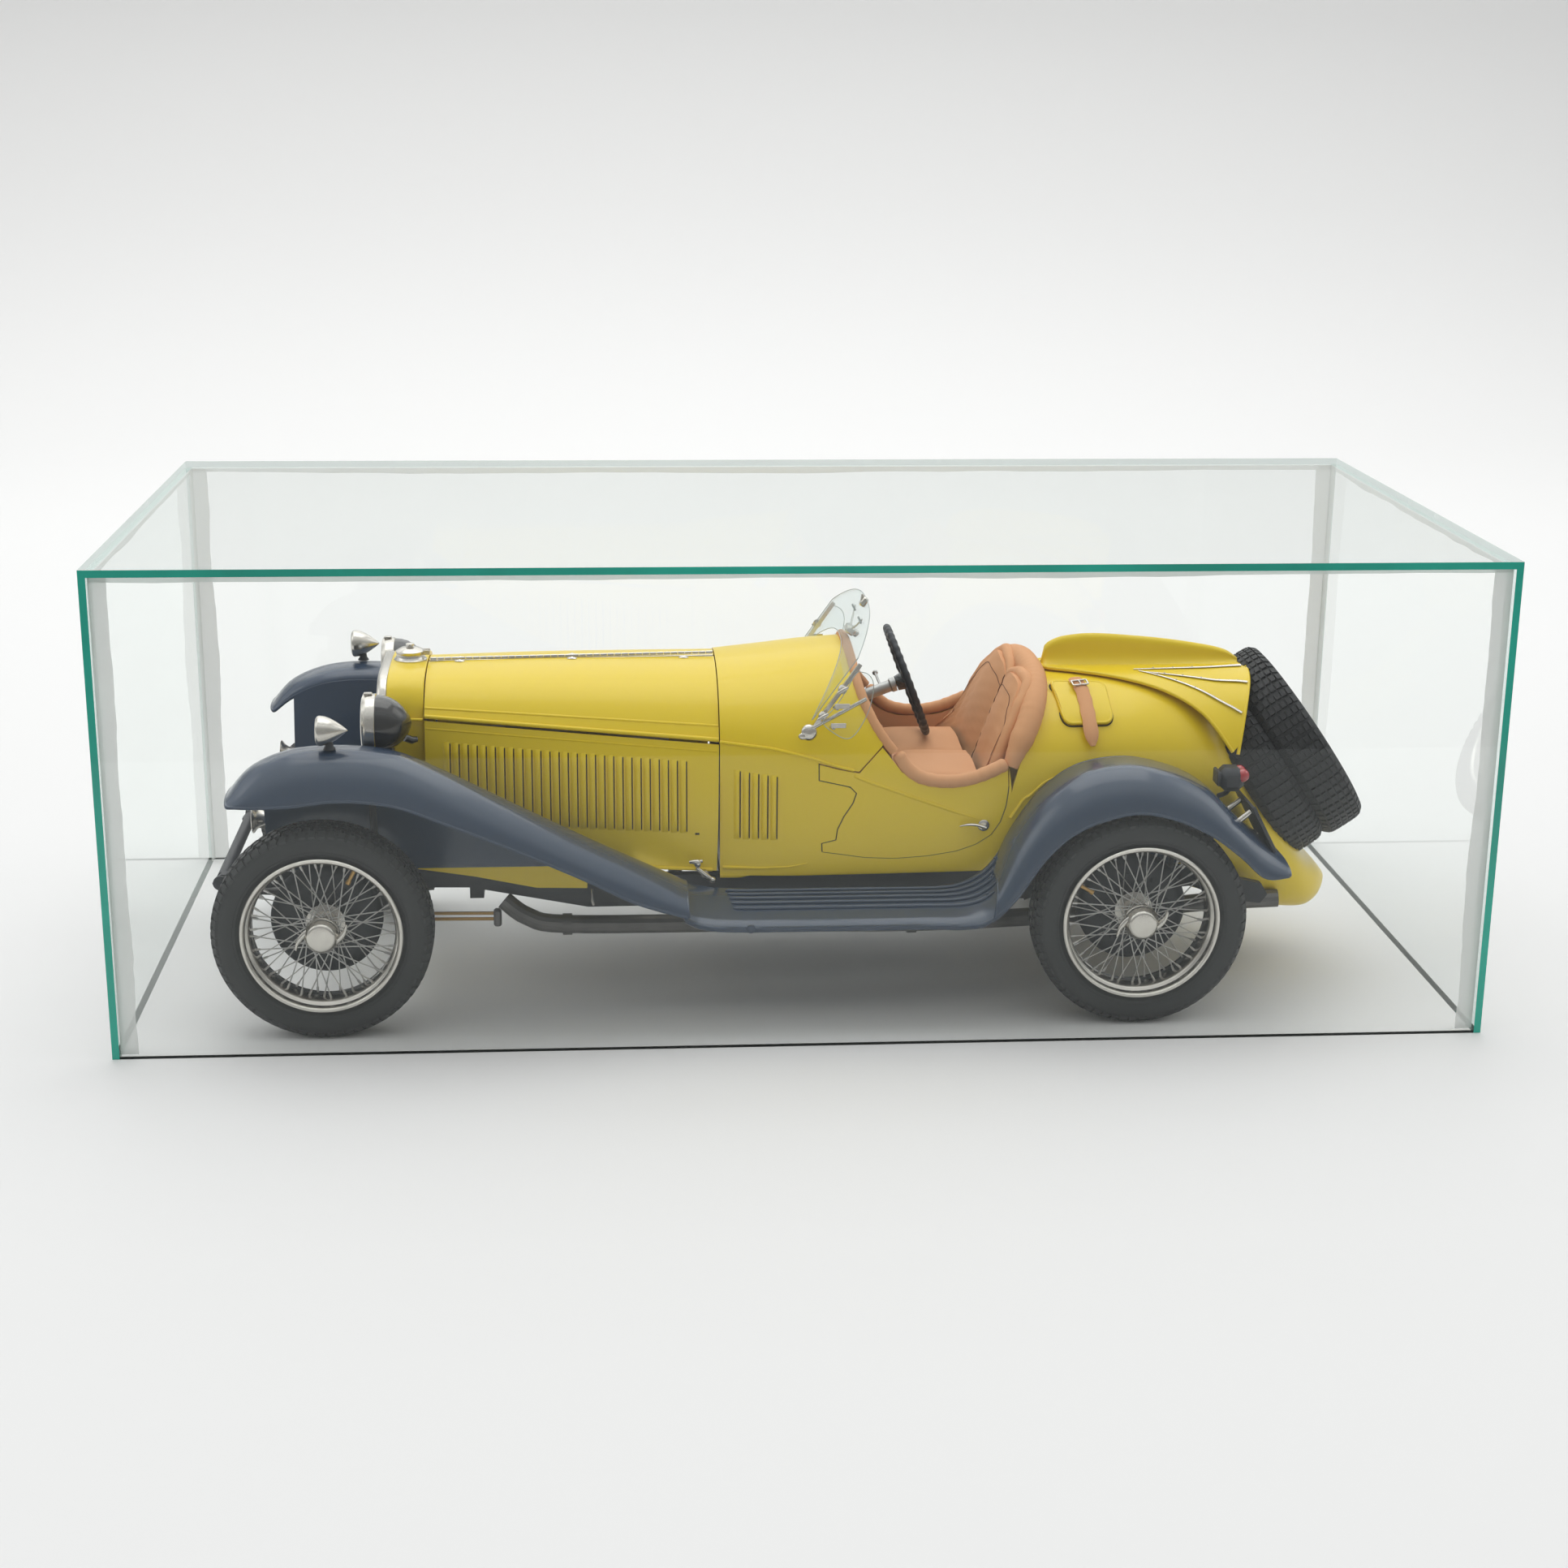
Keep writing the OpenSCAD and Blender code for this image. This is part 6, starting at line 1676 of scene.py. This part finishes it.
class ROADSTER_OT_seats(bpy.types.Operator):
    """Two cushions and a two-lobed leather back with a stitched roll"""

    bl_idname = "roadster.seats"
    bl_label = "Seats"

    def execute(self, context):
        leather, stitch = paint("leather"), paint("stitch")
        rng = np.random.default_rng(11)
        cushion = Shape()
        for lobe in (-1, 1):
            g = []
            m, n = 26, 36
            for i in range(m):
                u = i / (m - 1)
                row = []
                for j in range(n):
                    v = j / (n - 1)
                    x = 246.6 + 32.5 * u
                    y = lobe * (0.8 + 46.4 * v)
                    edge = min(1, min(u, 1.2 - u) * 6.5) ** 0.5 * min(1, min(v, 1 - v) * 9) ** 0.5
                    crown = 4.6 * edge * (0.72 + 0.28 * math.sin(math.pi * v))
                    dents = 0.8 * math.sin(v * 9) * math.sin(u * 5) * edge * 0.4
                    z = 96.0 + crown + dents
                    if lobe > 0:
                        z -= 2.4 * edge
                    row.append((x + 1.2 * edge * math.sin(u * math.pi) - 1.6 * math.sin(v * math.pi) * (1
                        - u) ** 2, y, z))
                g.append(row)
            g = np.array(g)
            cushion.grid(g, flip=lobe > 0)
            skirt = np.stack([g[0], g[0] * [1, 1, 0] + [0.4, 0, 80], g[0] * [1, 1, 0] + [1.4, 0, 62]])
            cushion.grid(skirt, flip=lobe < 0)
            outer = np.stack([g[:, -1], g[:, -1] * [1, 1, 0] + [0, 0, 62]])
            cushion.grid(outer, flip=lobe > 0)
        piping = np.array([(247.0 - 1.4 * math.sin(abs(t) * math.pi), 47 * t, 96.5)
            for t in np.linspace(-1, 1, 60)])
        cushion.tube(piping, 0.8, 8, ref=(1, 0, 0))
        pad = cushion.make("seat_cushion", "chassis", "tan_leather", leather, replaces=["seat_cushion"],
            sharp=80)
        # back: a padded shell that wraps from the middle round to the door
        back = Shape()
        m, n = 64, 26
        half_width, turn_at = 57.2, 0.45
        face, rear = [], []
        for i in range(m + 1):
            t = -1 + 2 * i / m
            a = abs(t)
            if a > turn_at:
                reach = half_width * (1 - (1 - a) ** 1.35)
            else:
                reach = half_width * (1 - (1 - turn_at) ** 1.35) * a / turn_at
            y = math.copysign(reach, t)
            wrap = max(0, (a - turn_at) / (1 - turn_at))
            lobe = math.sin(min(a / 0.72, 1) * math.pi) ** 0.8 if a < 0.72 else 0
            row_f, row_r = [], []
            hi = float(flow([(0, 132.5), (0.16, 136.4), (0.36, 137.6), (0.6, 131.5), (0.8, 120.5),
                (0.93, 110), (1, 104.5)], a))
            for j in range(n):
                s = j / (n - 1)
                z = 90 + (hi - 90) * s
                lean_x = 281.5 + 15.5 * s * (1 - 0.25 * wrap)
                bulge = 3.6 * lobe * math.sin(math.pi * min(s * 0.9 + 0.12, 1)) ** 0.7
                x = lean_x - 12.5 * wrap**1.6 * (1 - 0.15 * s) - bulge
                x += 0.18 * math.sin(j * 2.1 + i * 0.7) + rng.normal(0, 0.05)
                yy = y * (1 - 0.16 * s * wrap)
                row_f.append((x, yy, z))
                row_r.append((x + 5.2 + 3.6 * lobe, yy + math.copysign(1.4 * wrap, t), z - 0.5))
            face.append(row_f)
            rear.append(row_r)
        face, rear = np.array(face), np.array(rear)
        back.grid(face, flip=True).grid(rear)
        for k in (0, -1):
            back.grid(np.stack([face[:, k], rear[:, k]]), flip=k == 0)
            back.grid(np.stack([face[k], rear[k]]), flip=k == -1)
        edge = (face[:, -1] + rear[:, -1]) / 2
        wobble = 2.9 * (1 + 0.05 * np.sin(np.arange(m + 1) * 1.3))
        back.tube(edge + [0.2, 0, 0.2], wobble, 14, ref=(1, 0, 0))
        seam = face[:, -4] + [-0.25, 0, 0]
        back.tube(seam, 0.13, 5, mat=1, ref=(1, 0, 0))
        middle_seam = face[m // 2] + [-0.3, 0, 0]
        back.tube(middle_seam, 0.2, 5, mat=1, ref=(0, 1, 0))
        pad_back = back.make("seat_back", "chassis", "tan_leather", leather, stitch, replaces=["seat_back"],
            sharp=80)
        return {"FINISHED"}


# ---- tail fittings and running gear ---------------------------------------------
class ROADSTER_OT_tail_lamps(bpy.types.Operator):
    """Tail lamp boxes with red lenses, and the tilted plate on its struts"""

    bl_idname = "roadster.tail_lamps"
    bl_label = "Tail lamps"

    def execute(self, context):
        dark, red, nickel = paint("dark"), paint("red"), paint("nickel")
        lamp = Shape()
        for sgn in (-1, 1):
            lamp.block((386.6, 58 * sgn, 100.4), (10.6, 11.4, 10.4), 2.6)
            lamp.block((380.8, 58 * sgn, 101), (1.6, 9.0, 6.4), 0.6)
            for dy in (-2.7, 2.7):
                lamp.turned([(-1.6, 3.0), (0.2, 3.0), (1.4, 2.5), (2.2, 1.4), (2.5, 0)],
                    (391.6, 58 * sgn + dy, 102.4), (0.9, 0.2 * sgn, 0.42), 24, mat=1)
            lamp.tube(through([(387, 58 * sgn, 97.4), (386, 56 * sgn, 93.4), (384, 50 * sgn, 90)], 8), 1.1, 8)
        turn = Matrix.Rotation(math.radians(-28), 3, "Y")
        lamp.block((396.6, -64, 83.6), (1.1, 33.6, 22.6), 0.35, turn=turn)
        for dy, dz in ((-16.4, 0), (16.4, 0), (0, 9.4), (0, -9.4)):
            size = (1.7, 0.9, 22.8) if dy else (1.7, 33.8, 0.9)
            c = np.array([396.6, -64 + dy, 83.6]) + np.array(turn @ Vector((0.3, 0, dz)))
            lamp.block(c, size, 0.3, turn=turn, mat=0)
        for y in (-74, -56):
            lamp.tube([(384.3, y, 83.6), (392.2, y, 90.0)], 1.3, 12, mat=2)
            lamp.tube([(396.4, y, 70.6), (401.4, y, 74.0)], 1.2, 12, mat=2)
            lamp.ball(np.array([401.8, y, 74.2]), (1.4, 1.4, 1.4), mat=2)
        lamp.make("tail_lamps", "chassis", "dark_plastic", dark, red, nickel, replaces=["tail_lamps"],
            sharp=40)
        return {"FINISHED"}


class ROADSTER_OT_running_gear(bpy.types.Operator):
    """Frame, springs, axles, engine and exhaust, with bolt heads, dampers and pipe bands"""

    bl_idname = "roadster.running_gear"
    bl_label = "Running gear"

    def execute(self, context):
        worn = {
            "chassis_frame": "dark", "leaf_springs": "iron", "front_axle": "iron", "rear_axle": "iron",
            "engine_block": "alloy", "exhaust_pipe": "exhaust", "floor_pan": "dark", "body_sills": "yellow",
            "knuckle_left": "iron", "knuckle_right": "iron",
        }
        for node, kind in worn.items():
            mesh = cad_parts[node].data
            mesh.materials.clear()
            mesh.materials.append(paint(kind))
            mesh.set_sharp_from_angle(angle=math.radians(35))
        iron, dark = paint("iron"), paint("dark")
        bits = Shape()
        # bolt heads at both axles, friction dampers at the front axle
        for x, z in ((0, 50.6), (344, 50.6)):
            for sgn in (-1, 1):
                y = 46.5 * sgn if x < 200 else 50 * sgn
                for dx in (-5.4, 5.4):
                    bits.turned([(0, 1.2), (1.4, 1.2), (1.6, 0.9), (1.6, 0)], (x + dx, y, z), (0, 0, 1), 6)
        for sgn in (-1, 1):
            bits.turned([(-1.5, 0), (-1.5, 6.4), (-0.7, 7), (0.7, 7), (1.5, 6.4), (2.3, 2.2), (3.0, 2.0),
                (3.0, 0)], (24, 54.2 * sgn, 60), (0, sgn, 0), 28, mat=1)
            bits.tube([(24, 53.2 * sgn, 60), (12, 53.6 * sgn, 57), (4, 53.6 * sgn, 53)], [1.3, 1.1, 1.0], 8,
                mat=0)
            bits.turned([(-0.6, 0), (-0.6, 3.2), (0.6, 3.2), (1.2, 2.4), (1.2, 0)], (-46, 51.2 * sgn, 57),
                (0, sgn, 0), 24, mat=1)
        bits.make("springs_and_dampers", "chassis", None, iron, dark, sharp=40)
        pipes = Shape()
        for z in (41.6, 39.0):
            pipes.tube([(30, -50, z), (70, -50.4, z - 0.3)], 0.75, 8, mat=1)
        pipes.block((71, -51, 39.6), (3.4, 4, 7.6), 0.8)
        clip = [np.array([101, -55.5, 37.6]), np.array([250, -55.5, 36]), np.array([344, -37, 33])]
        for c in clip:
            pipes.turned([(-2, 4.1), (-2, 4.7), (2, 4.7), (2, 4.1)], c, (1, 0, 0), 28)
        pipes.turned([(-1.2, 4.0), (-1.2, 5.2), (1.2, 5.2), (1.2, 4.0)], (388, -38.2, 37.1), (1, 0, 0.05), 28)
        pipes.make("exhaust_bands", "chassis", None, paint("exhaust"), paint("brass"), sharp=40)
        return {"FINISHED"}


# ---- floor, lights and camera ---------------------------------------------------
FLOOR_LINE = [(-0.58, 0), (-0.2, 0), (0.3, 0), (0.9, 0), (1.5, 0.02), (2.0, 0.25), (2.3, 0.9), (2.4, 2.2)]
FLOOR_HALF_WIDTH = 3.2
LIGHTS = (  # name, place, what it points at, width, height, watts
    ("ceiling_light", (0.0, 0.45, 1.9), (0.0, 0.12, 0), 1.9, 1.5, 12),
    ("left_light", (-1.7, -0.1, 1.2), (0, 0, 0.08), 0.9, 1.1, 2.6),
    ("right_light", (1.6, 0.3, 1.2), (0, 0, 0.08), 0.9, 1.1, 2.2),
    ("back_light", (0.0, 1.6, 1.2), (0, 0.0, 0.05), 2.6, 1.1, 8),
    ("wall_light", (0.0, 1.2, 1.6), (0, 2.4, 0.9), 3.0, 1.0, 4.5),
)
SURROUND_LOW, SURROUND_HIGH = (0.34, 0.34, 0.34, 1), (0.93, 0.94, 0.95, 1)
SURROUND_TOWARDS, SURROUND_FULL_AT, SURROUND_STRENGTH = (0.0, 0.55, 0.85), 0.42, 0.95
SENSOR_WIDTH, CLIP_START = 36, 0.01


def floor_sheet(colour):
    """Sheet that lies flat under the case and curves up to a wall behind it."""
    profile = through(FLOOR_LINE, 80)
    xs = np.linspace(-FLOOR_HALF_WIDTH, FLOOR_HALF_WIDTH, 24)
    verts = [(x, y, z) for y, z in profile for x in xs]
    n = len(xs)
    faces = []
    for i in range(len(profile) - 1):
        for j in range(n - 1):
            a = i * n + j
            faces.append((a, a + 1, a + n + 1, a + n))
    mesh = bpy.data.meshes.new("floor")
    mesh.from_pydata(verts, [], faces)
    mesh.materials.append(finish("floor_paper", colour, rough=0.75, grain=0.02, grain_size=40))
    mesh.shade_smooth()
    return bpy.data.objects.new("floor", mesh)


def soft_light(name, at, to, width, height, watts):
    data = bpy.data.lights.new(name, "AREA")
    data.shape = "RECTANGLE"
    data.size, data.size_y, data.energy = width, height, watts
    light = bpy.data.objects.new(name, data)
    light.location = at
    light.rotation_euler = (Vector(to) - Vector(at)).to_track_quat("-Z", "Y").to_euler()
    return light


def surround():
    """Even pale light from above and behind, and a darker room in front."""
    world = bpy.data.worlds.new("pale_surround")
    world.use_nodes = True
    nt = world.node_tree
    where = nt.nodes.new("ShaderNodeTexCoord")
    tilt = nt.nodes.new("ShaderNodeVectorMath")
    tilt.operation = "DOT_PRODUCT"
    tilt.inputs[1].default_value = SURROUND_TOWARDS
    ramp = nt.nodes.new("ShaderNodeValToRGB")
    low, high = ramp.color_ramp.elements
    low.position, low.color = 0.0, SURROUND_LOW
    high.position, high.color = SURROUND_FULL_AT, SURROUND_HIGH
    nt.links.new(where.outputs["Generated"], tilt.inputs[0])
    nt.links.new(tilt.outputs["Value"], ramp.inputs["Fac"])
    nt.links.new(ramp.outputs["Color"], nt.nodes["Background"].inputs["Color"])
    nt.nodes["Background"].inputs["Strength"].default_value = SURROUND_STRENGTH
    return world


def aimed_camera(s):
    """Camera at the height, pitch, yaw and roll in the stage settings."""
    p, y, r = (math.radians(v) for v in (s.pitch, s.yaw, s.roll))
    ahead = Vector((math.sin(y) * math.cos(p), math.cos(y) * math.cos(p), -math.sin(p)))
    right = Vector((math.cos(y), -math.sin(y), 0))
    up = right.cross(ahead)
    right, up = right * math.cos(r) + up * math.sin(r), up * math.cos(r) - right * math.sin(r)
    data = bpy.data.cameras.new("camera")
    data.lens, data.sensor_width, data.clip_start = s.lens, SENSOR_WIDTH, CLIP_START
    camera = bpy.data.objects.new("camera", data)
    turn = Matrix((right, up, -ahead)).transposed().to_4x4()
    camera.matrix_world = Matrix.Translation(s.camera_at) @ turn
    return camera


class ROADSTER_OT_stage(bpy.types.Operator):
    """Pale floor that curves up behind, soft lights and the camera"""

    bl_idname = "roadster.stage"
    bl_label = "Stage"

    def execute(self, context):
        scene = context.scene
        s = scene.roadster_stage
        floor = floor_sheet(s.floor)
        scene.collection.objects.link(floor)
        for light in LIGHTS:
            scene.collection.objects.link(soft_light(*light))
        scene.view_settings.view_transform = "Standard"
        scene.world = surround()
        camera = aimed_camera(s)
        scene.collection.objects.link(camera)
        scene.camera = camera
        return {"FINISHED"}


# ---- panel -----------------------------------------------------------------------
OPERATORS = (
    ROADSTER_OT_stage, ROADSTER_OT_panes, ROADSTER_OT_sealant, ROADSTER_OT_body, ROADSTER_OT_deck,
    ROADSTER_OT_bonnet,
    ROADSTER_OT_doors, ROADSTER_OT_locker, ROADSTER_OT_wings, ROADSTER_OT_boards, ROADSTER_OT_wheels,
    ROADSTER_OT_spares,
    ROADSTER_OT_radiator, ROADSTER_OT_lamps, ROADSTER_OT_windscreen, ROADSTER_OT_steering,
    ROADSTER_OT_cockpit,
    ROADSTER_OT_seats, ROADSTER_OT_tail_lamps, ROADSTER_OT_running_gear,
)
SETTINGS = (("roadster_case", CaseSettings), ("roadster_paint", PaintSettings),
    ("roadster_car", CarSettings), ("roadster_stage", StageSettings))


class ROADSTER_PT_panel(bpy.types.Panel):
    """Sidebar panel with the sizes, colours and pieces"""

    bl_idname = "ROADSTER_PT_panel"
    bl_label = "Roadster in a glass case"
    bl_space_type = "VIEW_3D"
    bl_region_type = "UI"
    bl_category = "Roadster case"

    def draw(self, context):
        for name, group in SETTINGS:
            box = self.layout.box()
            for key in group.__annotations__:
                box.prop(getattr(context.scene, name), key)
        for operator in OPERATORS:
            self.layout.operator(operator.bl_idname)


def register():
    for name, group in SETTINGS:
        bpy.utils.register_class(group)
        setattr(bpy.types.Scene, name, PointerProperty(type=group))
    for operator in OPERATORS:
        bpy.utils.register_class(operator)
    bpy.utils.register_class(ROADSTER_PT_panel)


def unregister():
    bpy.utils.unregister_class(ROADSTER_PT_panel)
    for operator in reversed(OPERATORS):
        bpy.utils.unregister_class(operator)
    for name, group in reversed(SETTINGS):
        delattr(bpy.types.Scene, name)
        bpy.utils.unregister_class(group)


def main():
    register()
    for operator in OPERATORS:
        group, call = operator.bl_idname.split(".")
        getattr(getattr(bpy.ops, group), call)()


if __name__ == "__main__":
    main()
